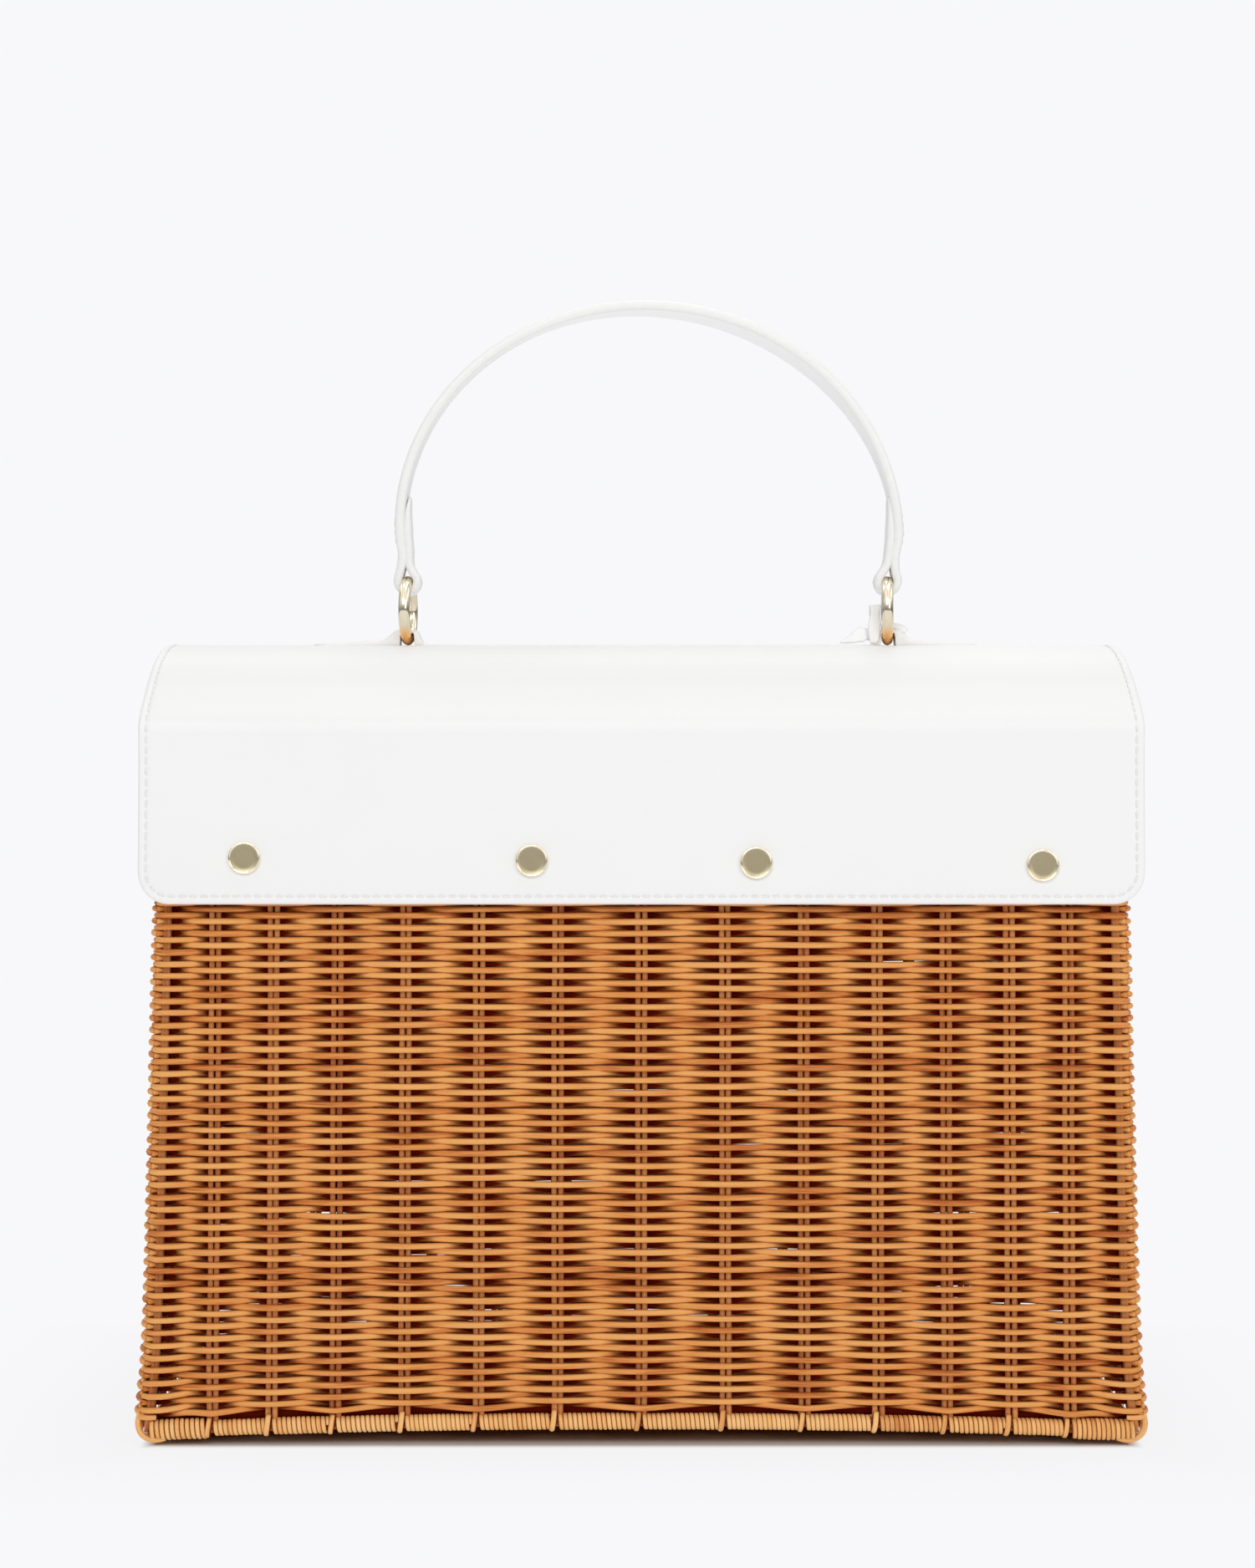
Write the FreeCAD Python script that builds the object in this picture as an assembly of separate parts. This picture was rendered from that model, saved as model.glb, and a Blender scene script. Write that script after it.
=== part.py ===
"""Wicker top-handle bag with a leather cover, one STEP file per sub-part.

Millimetres. +Z is up, the front faces -Y, and the origin is on the floor under the middle of the basket.
The basket is twin cane stakes woven with round cane between a base frame and a rim frame. The leather cover is
riveted to the back, arches over the open top and closes on four magnetic studs at the front. A strap along the
ridge of the cover holds two rings, and the handle loops through them.
"""

import FreeCAD, Part
import math
import os

V = FreeCAD.Vector

# Basket, outside faces of the weave
BASE_HALF_W, RIM_HALF_W = 170.0, 165.5
BASE_HALF_D, RIM_HALF_D = 75.0, 66.0
WALL_FOOT_Z, RIM_Z = 6.0, 240.0
WALL_T = 6.4
FIT_GAP, SLIP_GAP, LAYER_GAP = 0.15, 0.05, 0.02

# Canes
STAKE_R, STAKE_PITCH = 1.2, 2.5
POST_R = 1.6
FRONT_POST_IN, END_POST_IN = 6.0, 10.0
BASE_ROD_R, BASE_WRAP_R = 1.8, 3.2
RIM_ROD_R, RIM_WRAP_R = 2.2, 4.0
BASE_PANEL_T = 4.0
BASE_BOW = 5.6
TIE_T, TIE_HALF_W = 1.1, 2.6
STAKE_PAIRS_PER_SIDE = 6
END_STAKE_Y = (-46.0, -23.5, 0.0, 23.5, 46.0)

# Cover, measured outwards from the centre of the rim rod
LINING_IN, LINING_OUT = 4.9, 5.7
STIFFENER_OUT = 6.3
LEATHER_OUT = 7.7
COVER_HALF_W = 170.0
RIDGE_Z = 273.0
FRONT_DROP, BACK_DROP = 58.0, 45.0
CORNER_R = 11.0
STIFFENER_MARGIN = 12.0
FOLD_GAP = 0.2

# Studs and rivets
STUD_X = (-134.0, -37.0, 38.7, 135.3)
STUD_DROP = 43.6
RIVET_DROP = 31.0
STUD_LINE_FALL = 0.0093
CAP_R, CAP_T, CAP_EDGE = 5.5, 1.3, 0.4
PIN_R, PIN_HOLE_R = 1.5, 1.6
MAGNET_R, MAGNET_PROUD = 6.5, 0.3
KEEPER_R, KEEPER_T = 6.5, 1.2
WASHER_R, WASHER_T = 6.0, 1.0

# Rings, ridge strap, handle and tag lace
RING_R, RING_WIRE_R = 10.5, 2.0
HANDLE_X = 2.6
RING_HALF_SPAN = 86.6
RING_LIFT = 0.15
RING_YAW = -4.0
STRAP_T, STRAP_HALF_W, STRAP_WAIST_HALF_W = 1.8, 7.5, 5.0
STRAP_END_LEFT, STRAP_END_RIGHT = -117.5, 120.8
HANDLE_T, HANDLE_HALF_W = 3.8, 7.5
HANDLE_ARCH_Z, HANDLE_TOP_Z = 313.0, 398.2
HANDLE_HALF_SPAN = 92.1
HANDLE_SKEW = 1.3
LOOP_HALF_W, LOOP_HALF_H = 5.3, 7.1
LOOP_HOLE_HALF_W, LOOP_HOLE_HALF_H = 2.9, 4.5
FOLD_BACK_TOP_Z = 322.0
LACE_T, LACE_HALF_W = 1.3, 3.0

# Worked out from the driving dimensions
WALL_RISE = RIM_Z - WALL_FOOT_Z
WALL_LENGTH = math.hypot(WALL_RISE, BASE_HALF_D - RIM_HALF_D)
FRONT_LEAN = math.degrees(math.atan((BASE_HALF_D - RIM_HALF_D) / WALL_RISE))
END_LEAN = math.degrees(math.atan((BASE_HALF_W - RIM_HALF_W) / WALL_RISE))
ROD_Y = RIM_HALF_D - WALL_T / 2
ROD_X = RIM_HALF_W - WALL_T / 2
BASE_ROD_Z = BASE_WRAP_R - 0.2
BASE_ROD_X = BASE_HALF_W - BASE_WRAP_R
BASE_ROD_Y = BASE_HALF_D - BASE_WRAP_R
ARCH_APEX_Z = RIDGE_Z - LEATHER_OUT
ARCH_Z = (ARCH_APEX_Z + RIM_Z - ROD_Y**2 / (ARCH_APEX_Z - RIM_Z)) / 2
ARCH_R = ARCH_APEX_Z - ARCH_Z
RING_Z = RIDGE_Z + RING_LIFT + RING_R + RING_WIRE_R
RING_X = (HANDLE_X - RING_HALF_SPAN, HANDLE_X + RING_HALF_SPAN)
BIG = 400.0


def save(name, solids):
    """Writes one node: one solid, or several under one name."""
    shape = solids[0] if len(solids) == 1 else Part.makeCompound(solids)
    shape.exportStep(os.path.join("parts", name + ".step"))


def box(low, high):
    size = V(*high) - V(*low)
    return Part.makeBox(size.x, size.y, size.z, V(*low))


def rod(start, end, radius):
    """A round rod between two points."""
    along = V(*end) - V(*start)
    return Part.makeCylinder(radius, along.Length, V(*start), along)


def mirrored(shape, axis):
    """The shape on the other side of the middle plane across that axis."""
    normal = V(1, 0, 0) if axis == "x" else V(0, 1, 0)
    return shape.mirror(V(0, 0, 0), normal)


def pipe(path_edges, radius):
    """A round bar along a smooth chain of edges."""
    wire = Part.Wire(path_edges)
    first = path_edges[0]
    start = first.valueAt(first.FirstParameter)
    heading = first.tangentAt(first.FirstParameter)
    ring = Part.Wire(Part.makeCircle(radius, start, heading))
    return wire.makePipeShell([ring], True, False)


def sleeve(path_edges, outer, inner):
    """A tube along a smooth chain of edges."""
    return pipe(path_edges, outer).cut(pipe(path_edges, inner))


def bow(x):
    """How far the base stands off the floor at x: nothing at the ends, most in the middle."""
    return BASE_BOW * (1 - min(1.0, abs(x / BASE_ROD_X)) ** 3)


def bow_edge(y, z, half_length, steps=12):
    """A curve along X that follows the bow of the base."""
    xs = [half_length * (2 * i / steps - 1) for i in range(steps + 1)]
    curve = Part.BSplineCurve()
    curve.interpolate([V(x, y, z + bow(x)) for x in xs])
    return curve.toShape()


def stake_centres():
    """X of the middle of each stake pair on the long walls, a little closer together towards the corners."""
    half = [29.2 * i - 0.85 * i * i for i in range(1, STAKE_PAIRS_PER_SIDE + 1)]
    return [-x for x in reversed(half)] + [0.0] + half


def half_width(z):
    """Half the basket's width at height z, to the outside of the weave."""
    return BASE_HALF_W + (RIM_HALF_W - BASE_HALF_W) * (z - WALL_FOOT_Z) / WALL_RISE


# Walls are built upright on the line where the wall's middle meets the foot, then leaned inwards.


def lean_front(shape):
    """Puts an upright wall piece into the front wall."""
    placed = shape.copy()
    placed.rotate(V(0, 0, 0), V(1, 0, 0), -FRONT_LEAN)
    placed.translate(V(0, -(BASE_HALF_D - WALL_T / 2), WALL_FOOT_Z))
    return placed


def lean_right(shape):
    """Puts an upright wall piece into the right end wall."""
    placed = shape.copy()
    placed.rotate(V(0, 0, 0), V(0, 1, 0), -END_LEAN)
    placed.translate(V(BASE_HALF_W - WALL_T / 2, 0, WALL_FOOT_Z))
    return placed


def wall_bottom(x):
    """Height of the foot of the long wall above the lean line, just clear of the base wrap."""
    return BASE_ROD_Z + BASE_WRAP_R + bow(x) + FIT_GAP - WALL_FOOT_Z


def front_wall_top():
    return WALL_RISE - RIM_WRAP_R - FIT_GAP


def front_post(low, high, radius):
    """The front wall's right post, which leans with the basket's side, in the wall's own upright frame."""
    x, slope = BASE_HALF_W - FRONT_POST_IN, (RIM_HALF_W - BASE_HALF_W) / WALL_RISE
    return rod((x + slope * low, 0, low), (x + slope * high, 0, high), radius)


def end_post(low, high, radius):
    """The right wall's rear post, which leans with the basket's back, in the wall's own upright frame."""
    y, slope = BASE_HALF_D - END_POST_IN, (RIM_HALF_D - BASE_HALF_D) / WALL_RISE
    return rod((0, y + slope * low, low), (0, y + slope * high, high), radius)


def stud_positions(drop):
    """(x, distance below the rim) of the studs, on a line that falls a little to the right."""
    return [(x, drop + STUD_LINE_FALL * x) for x in STUD_X]


def long_weave(pin_drop):
    """A woven long wall: a slab with a channel for each stake pair and post, and holes for the pins."""
    low, high = -WALL_T / 2, WALL_T / 2
    half_foot, half_top = BASE_HALF_W, half_width(WALL_FOOT_Z + front_wall_top())
    steps = 12
    foot_points = [half_foot * (2 * i / steps - 1) for i in range(steps + 1)]
    foot_curve = Part.BSplineCurve()
    foot_curve.interpolate([V(x, low, wall_bottom(x)) for x in foot_points])
    foot = foot_curve.toShape()
    corners = [
        V(half_foot, low, wall_bottom(half_foot)),
        V(half_top, low, front_wall_top()),
        V(-half_top, low, front_wall_top()),
        V(-half_foot, low, wall_bottom(half_foot)),
    ]
    sides = [Part.makeLine(corners[i], corners[i + 1]) for i in range(3)]
    slab = Part.Face(Part.Wire([foot] + sides)).extrude(V(0, high - low, 0))
    channel_x, channel_y = STAKE_PITCH / 2 + STAKE_R + 0.1, STAKE_R + 0.1
    for x in stake_centres():
        slab = slab.cut(box((x - channel_x, -channel_y, -10), (x + channel_x, channel_y, WALL_RISE)))
    post_channel = front_post(-10, WALL_RISE, POST_R + 0.1)
    slab = slab.cut(post_channel).cut(mirrored(post_channel, "x"))
    for x, drop in stud_positions(pin_drop):
        height = WALL_LENGTH - drop
        slab = slab.cut(rod((x, low - 1, height), (x, high + 1, height), PIN_HOLE_R))
    return slab


def stakes_front():
    """Twin round canes standing in each channel of the long wall."""
    canes = []
    for x in stake_centres():
        for side in (-1, 1):
            cane_x = x + side * STAKE_PITCH / 2
            canes.append(rod((cane_x, 0, wall_bottom(cane_x) + 0.2), (cane_x, 0, front_wall_top()), STAKE_R))
    return canes


def end_arch_z(y, below):
    """Height of the end wall's arch at y, that far below the centre of the rim rod."""
    return ARCH_Z + math.sqrt((ARCH_R - below) ** 2 - y * y)


def weave_right():
    """The woven end wall between the long walls, with an arched top."""
    half_foot = BASE_HALF_D - WALL_T - FIT_GAP
    half_top = RIM_HALF_D - WALL_T - FIT_GAP
    low, high = -WALL_T / 2, WALL_T / 2
    foot = BASE_ROD_Z + BASE_WRAP_R + FIT_GAP - WALL_FOOT_Z
    below = RIM_WRAP_R + FIT_GAP
    shoulder = end_arch_z(half_top, below) - WALL_FOOT_Z
    crown = end_arch_z(0, below) - WALL_FOOT_Z
    outline = [
        Part.makeLine(V(low, -half_foot, foot), V(low, half_foot, foot)),
        Part.makeLine(V(low, half_foot, foot), V(low, half_top, shoulder)),
        Part.Arc(V(low, half_top, shoulder), V(low, 0, crown), V(low, -half_top, shoulder)).toShape(),
        Part.makeLine(V(low, -half_top, shoulder), V(low, -half_foot, foot)),
    ]
    slab = Part.Face(Part.Wire(outline)).extrude(V(high - low, 0, 0))
    channel_x, channel_y = STAKE_R + 0.1, STAKE_PITCH / 2 + STAKE_R + 0.1
    for y in END_STAKE_Y:
        slab = slab.cut(box((-channel_x, y - channel_y, -10), (channel_x, y + channel_y, BIG)))
    post_channel = end_post(-10, WALL_RISE + 10, POST_R + 0.1)
    return slab.cut(post_channel).cut(mirrored(post_channel, "y"))


def stakes_right():
    canes = []
    foot = BASE_ROD_Z + BASE_WRAP_R + FIT_GAP - WALL_FOOT_Z
    for y in END_STAKE_Y:
        for side in (-1, 1):
            cane_y = y + side * STAKE_PITCH / 2
            top = end_arch_z(abs(cane_y) + STAKE_R, RIM_WRAP_R + FIT_GAP) - WALL_FOOT_Z
            canes.append(rod((0, cane_y, foot + 0.2), (0, cane_y, top), STAKE_R))
    return canes


def corner_posts():
    """Eight posts: one near each end of each wall."""
    foot = wall_bottom(BASE_HALF_W - FRONT_POST_IN) + FIT_GAP
    front = lean_front(front_post(foot, front_wall_top(), POST_R))
    foot = BASE_ROD_Z + BASE_WRAP_R + 2 * FIT_GAP - WALL_FOOT_Z
    top = end_arch_z(RIM_HALF_D - END_POST_IN + POST_R, RIM_WRAP_R + FIT_GAP) - WALL_FOOT_Z
    end = lean_right(end_post(foot, top - FIT_GAP, POST_R))
    posts = []
    for post in (front, end):
        posts += [post, mirrored(post, "x"), mirrored(post, "y"), mirrored(mirrored(post, "x"), "y")]
    return posts


def base_rails():
    """Centre lines of the base frame: the bowed front rail and the straight right rail."""
    end_x = BASE_ROD_X
    front = bow_edge(-BASE_ROD_Y, BASE_ROD_Z, end_x)
    corner = V(end_x, -BASE_ROD_Y, BASE_ROD_Z + bow(end_x))
    right = Part.makeLine(corner, V(end_x, BASE_ROD_Y, corner.z))
    return front, right


def base_frame():
    """One cane bent into a rectangle that rests on its two short rails."""
    front, right = base_rails()
    bars = [pipe([front], BASE_ROD_R), pipe([right], BASE_ROD_R)]
    frame = bars[0].fuse(bars[1]).fuse(mirrored(bars[0], "y")).fuse(mirrored(bars[1], "x"))
    corner_z = BASE_ROD_Z + bow(BASE_ROD_X)
    for x in (-BASE_ROD_X, BASE_ROD_X):
        for y in (-BASE_ROD_Y, BASE_ROD_Y):
            frame = frame.fuse(Part.makeSphere(BASE_ROD_R, V(x, y, corner_z)))
    return frame


def base_wraps():
    """The cane binding of each rail, pressed flat where it stands on the floor."""
    inner = BASE_ROD_R + SLIP_GAP
    reach = BASE_ROD_X - BASE_ROD_R - FIT_GAP
    front = sleeve([bow_edge(-BASE_ROD_Y, BASE_ROD_Z, reach)], BASE_WRAP_R, inner)
    corner_z = BASE_ROD_Z + bow(BASE_ROD_X)
    stop = BASE_ROD_Y - BASE_WRAP_R - FIT_GAP
    line = Part.makeLine(V(BASE_ROD_X, -stop, corner_z), V(BASE_ROD_X, stop, corner_z))
    floor = box((-BIG, -BIG, -20), (BIG, BIG, 0))
    right = sleeve([line], BASE_WRAP_R, inner).cut(floor)
    front = front.cut(floor).cut(box((BASE_ROD_X - BASE_WRAP_R, -BIG, -20), (BIG, BIG, 20)))
    front = front.cut(box((-BIG, -BIG, -20), (-(BASE_ROD_X - BASE_WRAP_R), BIG, 20)))
    return [front, mirrored(front, "y"), right, mirrored(right, "x")]


def base_corner_binding():
    """The strands that round each corner of the base: a short bound block over the frame's corner."""
    corner_z = BASE_ROD_Z + bow(BASE_ROD_X)
    x, y = BASE_ROD_X, -BASE_ROD_Y
    edge = BASE_WRAP_R + FIT_GAP
    ball = Part.makeSphere(BASE_WRAP_R, V(x, y, corner_z))
    ball = ball.fuse(rod((x - edge + 0.1, y, corner_z), (x, y, corner_z), BASE_WRAP_R))
    ball = ball.fuse(rod((x, y, corner_z), (x, y + edge - 0.1, corner_z), BASE_WRAP_R))
    front, right = base_rails()
    hollow = pipe([front], BASE_ROD_R + SLIP_GAP).fuse(pipe([right], BASE_ROD_R + SLIP_GAP))
    hollow = hollow.fuse(Part.makeSphere(BASE_ROD_R + SLIP_GAP, V(x, y, corner_z)))
    ball = ball.cut(hollow).cut(box((-BIG, -BIG, -20), (BIG, BIG, 0)))
    return [ball, mirrored(ball, "x"), mirrored(ball, "y"), mirrored(mirrored(ball, "x"), "y")]


def stake_ties():
    """The ends of every second stake pair, turned down over the outside of the base binding."""
    ties = []
    inner, outer = BASE_WRAP_R + SLIP_GAP, BASE_WRAP_R + TIE_T
    shell = sleeve([bow_edge(-BASE_ROD_Y, BASE_ROD_Z, BASE_ROD_X)], outer, inner)
    for x in stake_centres()[1::2]:
        top = BASE_ROD_Z + bow(x) + BASE_WRAP_R - 0.3
        keep = box((x - TIE_HALF_W, -BASE_ROD_Y - outer - 1, 0.3), (x + TIE_HALF_W, -BASE_ROD_Y + 0.5, top))
        ties.append(shell.common(keep))
    return ties + [mirrored(tie, "y") for tie in ties]


def base_panel():
    """The woven bottom, bowed like the base frame."""
    half_x = BASE_ROD_X - BASE_WRAP_R - 2 * FIT_GAP
    half_y = BASE_ROD_Y - BASE_WRAP_R - 2 * FIT_GAP
    under = bow_edge(-half_y, BASE_ROD_Z - BASE_PANEL_T / 2 + 1, half_x)
    over = bow_edge(-half_y, BASE_ROD_Z + BASE_PANEL_T / 2 + 1, half_x)
    ends = [Part.makeLine(under.valueAt(p), over.valueAt(q)) for p, q in (
        (under.FirstParameter, over.FirstParameter), (under.LastParameter, over.LastParameter))]
    return Part.Face(Part.Wire([under, ends[1], over, ends[0]])).extrude(V(0, 2 * half_y, 0))


def rim_arch_edge(x, trim=0.0):
    """Centre line of the rim over one end wall, shortened at both feet by an angle in degrees."""
    reach = math.degrees(math.asin(ROD_Y / ARCH_R)) - trim
    side = V(x, ARCH_R * math.sin(math.radians(reach)), ARCH_Z + ARCH_R * math.cos(math.radians(reach)))
    return Part.Arc(V(x, -side.y, side.z), V(x, 0, ARCH_APEX_Z), side).toShape()


def rim_frame():
    """One cane round the opening: straight along the long walls and arched over the ends."""
    front = rod((-ROD_X, -ROD_Y, RIM_Z), (ROD_X, -ROD_Y, RIM_Z), RIM_ROD_R)
    arch = pipe([rim_arch_edge(ROD_X)], RIM_ROD_R)
    frame = front.fuse(mirrored(front, "y")).fuse(arch).fuse(mirrored(arch, "x"))
    for x in (-ROD_X, ROD_X):
        for y in (-ROD_Y, ROD_Y):
            frame = frame.fuse(Part.makeSphere(RIM_ROD_R, V(x, y, RIM_Z)))
    return frame


def rim_wraps():
    """The cane binding of each side of the rim."""
    inner = RIM_ROD_R + SLIP_GAP
    stop = ROD_X - RIM_WRAP_R - FIT_GAP
    front = rod((-stop, -ROD_Y, RIM_Z), (stop, -ROD_Y, RIM_Z), RIM_WRAP_R)
    front = front.cut(rod((-ROD_X, -ROD_Y, RIM_Z), (ROD_X, -ROD_Y, RIM_Z), inner))
    arch = sleeve([rim_arch_edge(ROD_X, trim=1.6)], RIM_WRAP_R, inner)
    return [front, mirrored(front, "y"), arch, mirrored(arch, "x")]


# The cover is made of layers that share one centre line: down the wall, round the rim rod, over the arch.


def wall_normal(side):
    """Outward normal of the long wall in (y, z). side is -1 at the front and 1 at the back."""
    lean = math.radians(FRONT_LEAN)
    return V(0, side * math.cos(lean), math.sin(lean))


def wall_down(side):
    lean = math.radians(FRONT_LEAN)
    return V(0, side * math.sin(lean), -math.cos(lean))


def fold_axis(side):
    """The crease where the cover turns from wall to top: the outer face of the leather beside the rim."""
    return V(0, side * ROD_Y, RIM_Z) + wall_normal(side) * LEATHER_OUT


def top_layer(inner, outer, half_w):
    """A layer of the arched top, from crease to crease."""
    edges = []
    ends = []
    for offset in (inner, outer):
        tangent, meet = {}, {}
        for side in (-1, 1):
            rim = V(0, side * ROD_Y, RIM_Z)
            dome_normal = (rim - V(0, 0, ARCH_Z)).normalize()
            middle = (dome_normal + wall_normal(side)).normalize()
            tangent[side] = rim + wall_normal(side) * offset
            meet[side] = rim + dome_normal * offset
            edges.append(Part.Arc(tangent[side], rim + middle * offset, meet[side]).toShape())
        crown = V(0, 0, ARCH_APEX_Z + offset)
        edges.append(Part.Arc(meet[-1], crown, meet[1]).toShape())
        ends.append(tangent)
    for side in (-1, 1):
        edges.append(Part.makeLine(ends[0][side], ends[1][side]))
    face = Part.Face(Part.Wire(Part.__sortEdges__(edges)))
    face.translate(V(-half_w, 0, 0))
    return face.extrude(V(2 * half_w, 0, 0))


def drop_layer(side, inner, outer, length):
    """A layer of the panel that hangs down a long wall, with rounded lower corners."""
    half, r = COVER_HALF_W, CORNER_R
    diagonal = r * (1 - math.sqrt(0.5))
    top, turn, low = -FOLD_GAP, r - length, -length
    outline = [
        Part.makeLine(V(-half, 0, top), V(half, 0, top)),
        Part.makeLine(V(half, 0, top), V(half, 0, turn)),
        Part.Arc(V(half, 0, turn), V(half - diagonal, 0, low + diagonal), V(half - r, 0, low)).toShape(),
        Part.makeLine(V(half - r, 0, low), V(r - half, 0, low)),
        Part.Arc(V(r - half, 0, low), V(diagonal - half, 0, low + diagonal), V(-half, 0, turn)).toShape(),
        Part.makeLine(V(-half, 0, turn), V(-half, 0, top)),
    ]
    face = Part.Face(Part.Wire(outline))
    face.translate(V(0, side * inner, 0))
    panel = face.extrude(V(0, side * (outer - inner), 0))
    return hang(panel, side)


def hang(shape, side):
    """Moves a piece modelled upright beside the rim rod's centre, y outwards, onto the leaning wall."""
    placed = shape.copy()
    placed.rotate(V(0, 0, 0), V(1, 0, 0), side * FRONT_LEAN)
    placed.translate(V(0, side * ROD_Y, RIM_Z))
    return placed


def along_wall(side, x, drop, start, end, radius):
    """A disc or pin square to the wall, between two distances from the rim rod's centre plane."""
    return hang(rod((x, side * start, -drop), (x, side * end, -drop), radius), side)


def pierced(panel, side, drop, radius):
    for x, d in stud_positions(drop):
        panel = panel.cut(along_wall(side, x, d, 0, 20, radius))
    return panel


def cap(side, x, drop):
    """A flat stud head with a small bevel round its edge, outside the leather."""
    head = rod((0, 0, 0), (0, 0, CAP_T), CAP_R)
    head = head.makeChamfer(CAP_EDGE, [e for e in head.Edges if abs(e.CenterOfMass.z - CAP_T) < 1e-3])
    head.rotate(V(0, 0, 0), V(1, 0, 0), -90 * side)
    head.translate(V(x, side * LEATHER_OUT, -drop))
    return hang(head, side)


def closure_caps():
    """Front stud heads, each with a pin through the leather into its magnet."""
    return [
        cap(-1, x, d).fuse(along_wall(-1, x, d, LINING_IN + 0.2, LEATHER_OUT + 0.1, PIN_R))
        for x, d in stud_positions(STUD_DROP)
    ]


def closure_magnets():
    """Discs let into the lining, a little proud of it on the inside."""
    discs = []
    for x, d in stud_positions(STUD_DROP):
        disc = along_wall(-1, x, d, LINING_IN - MAGNET_PROUD, STIFFENER_OUT - SLIP_GAP, MAGNET_R)
        discs.append(disc.cut(along_wall(-1, x, d, LINING_IN + 0.1, 20, PIN_R + SLIP_GAP)))
    return discs


def closure_keepers():
    """Steel discs on the front of the basket, each with a pin through the weave."""
    face = WALL_T / 2 + SLIP_GAP
    return [
        along_wall(-1, x, d, face, face + KEEPER_T, KEEPER_R).fuse(
            along_wall(-1, x, d, -WALL_T / 2 - WASHER_T, face + 0.1, PIN_R))
        for x, d in stud_positions(STUD_DROP)
    ]


def washers(side, drop):
    """Plain washers inside the basket that the pins are clenched over."""
    face = -WALL_T / 2 - SLIP_GAP
    rings = []
    for x, d in stud_positions(drop):
        disc = along_wall(side, x, d, face - WASHER_T, face, WASHER_R)
        rings.append(disc.cut(along_wall(side, x, d, face - 3, 3, PIN_R + SLIP_GAP)))
    return rings


def back_rivets():
    """Rivets that fix the cover to the back of the basket."""
    return [
        cap(1, x, d).fuse(along_wall(1, x, d, -WALL_T / 2 - WASHER_T, LEATHER_OUT + 0.1, PIN_R))
        for x, d in stud_positions(RIVET_DROP)
    ]


def ring(x):
    """A ring seen nearly edge on from the front, turned a few degrees about the vertical."""
    torus = Part.makeTorus(RING_R, RING_WIRE_R, V(0, 0, 0), V(1, 0, 0))
    torus.rotate(V(0, 0, 0), V(0, 0, 1), RING_YAW)
    torus.translate(V(x, 0, RING_Z))
    return torus


def ridge_strap():
    """A strap along the ridge that humps over the foot of each ring, narrower there."""
    flat = RIDGE_Z + SLIP_GAP
    inner_circle = RING_R - RING_WIRE_R
    hump = RING_Z - math.sqrt(inner_circle**2 - STRAP_WAIST_HALF_W**2) + FIT_GAP
    flat_half, foot_half = RING_WIRE_R + 0.3, 9.0
    under = [(STRAP_END_LEFT, flat)]
    for x in RING_X:
        under += [(x - foot_half, flat), (x - flat_half, hump), (x + flat_half, hump), (x + foot_half, flat)]
    under.append((STRAP_END_RIGHT, flat))
    over = [(x, z + STRAP_T) for x, z in reversed(under)]
    points = [V(x, -STRAP_HALF_W, z) for x, z in under + over]
    strap = Part.Face(Part.makePolygon(points + points[:1])).extrude(V(0, 2 * STRAP_HALF_W, 0))
    waist_half, taper = 5.0, 8.0
    for x in RING_X:
        for side in (-1, 1):
            notch = [
                V(x - waist_half - taper, side * STRAP_HALF_W, 0),
                V(x - waist_half, side * STRAP_WAIST_HALF_W, 0),
                V(x + waist_half, side * STRAP_WAIST_HALF_W, 0),
                V(x + waist_half + taper, side * STRAP_HALF_W, 0),
                V(x + waist_half + taper, side * BIG, 0),
                V(x - waist_half - taper, side * BIG, 0),
            ]
            strap = strap.cut(Part.Face(Part.makePolygon(notch + notch[:1])).extrude(V(0, 0, BIG)))
    return strap


def handle_curve(inset):
    """The arch of the handle, that far inside its outer face, from the right leg to the left leg."""
    rise = HANDLE_TOP_Z - HANDLE_ARCH_Z
    points = []
    for i in range(0, 25):
        t = math.pi * i / 24
        a, b = HANDLE_HALF_SPAN, rise
        polar = a * b / math.hypot(b * math.cos(t), a * math.sin(t))
        r = polar - HANDLE_SKEW * math.sin(2 * t) - inset
        points.append(V(HANDLE_X + r * math.cos(t), 0, HANDLE_ARCH_Z + r * math.sin(t)))
    curve = Part.BSplineCurve()
    curve.interpolate(points)
    return curve.toShape()


def ellipse_face(x, z, half_x, half_z):
    """A flat ellipse in the XZ plane with its long axis upright."""
    oval = Part.Ellipse(V(0, 0, 0), half_z, half_x).toShape()
    face = Part.Face(Part.Wire(oval))
    face.rotate(V(0, 0, 0), V(1, 0, 0), 90)
    face.rotate(V(0, 0, 0), V(0, 1, 0), 90)
    face.translate(V(x, 0, z))
    return face


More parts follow.
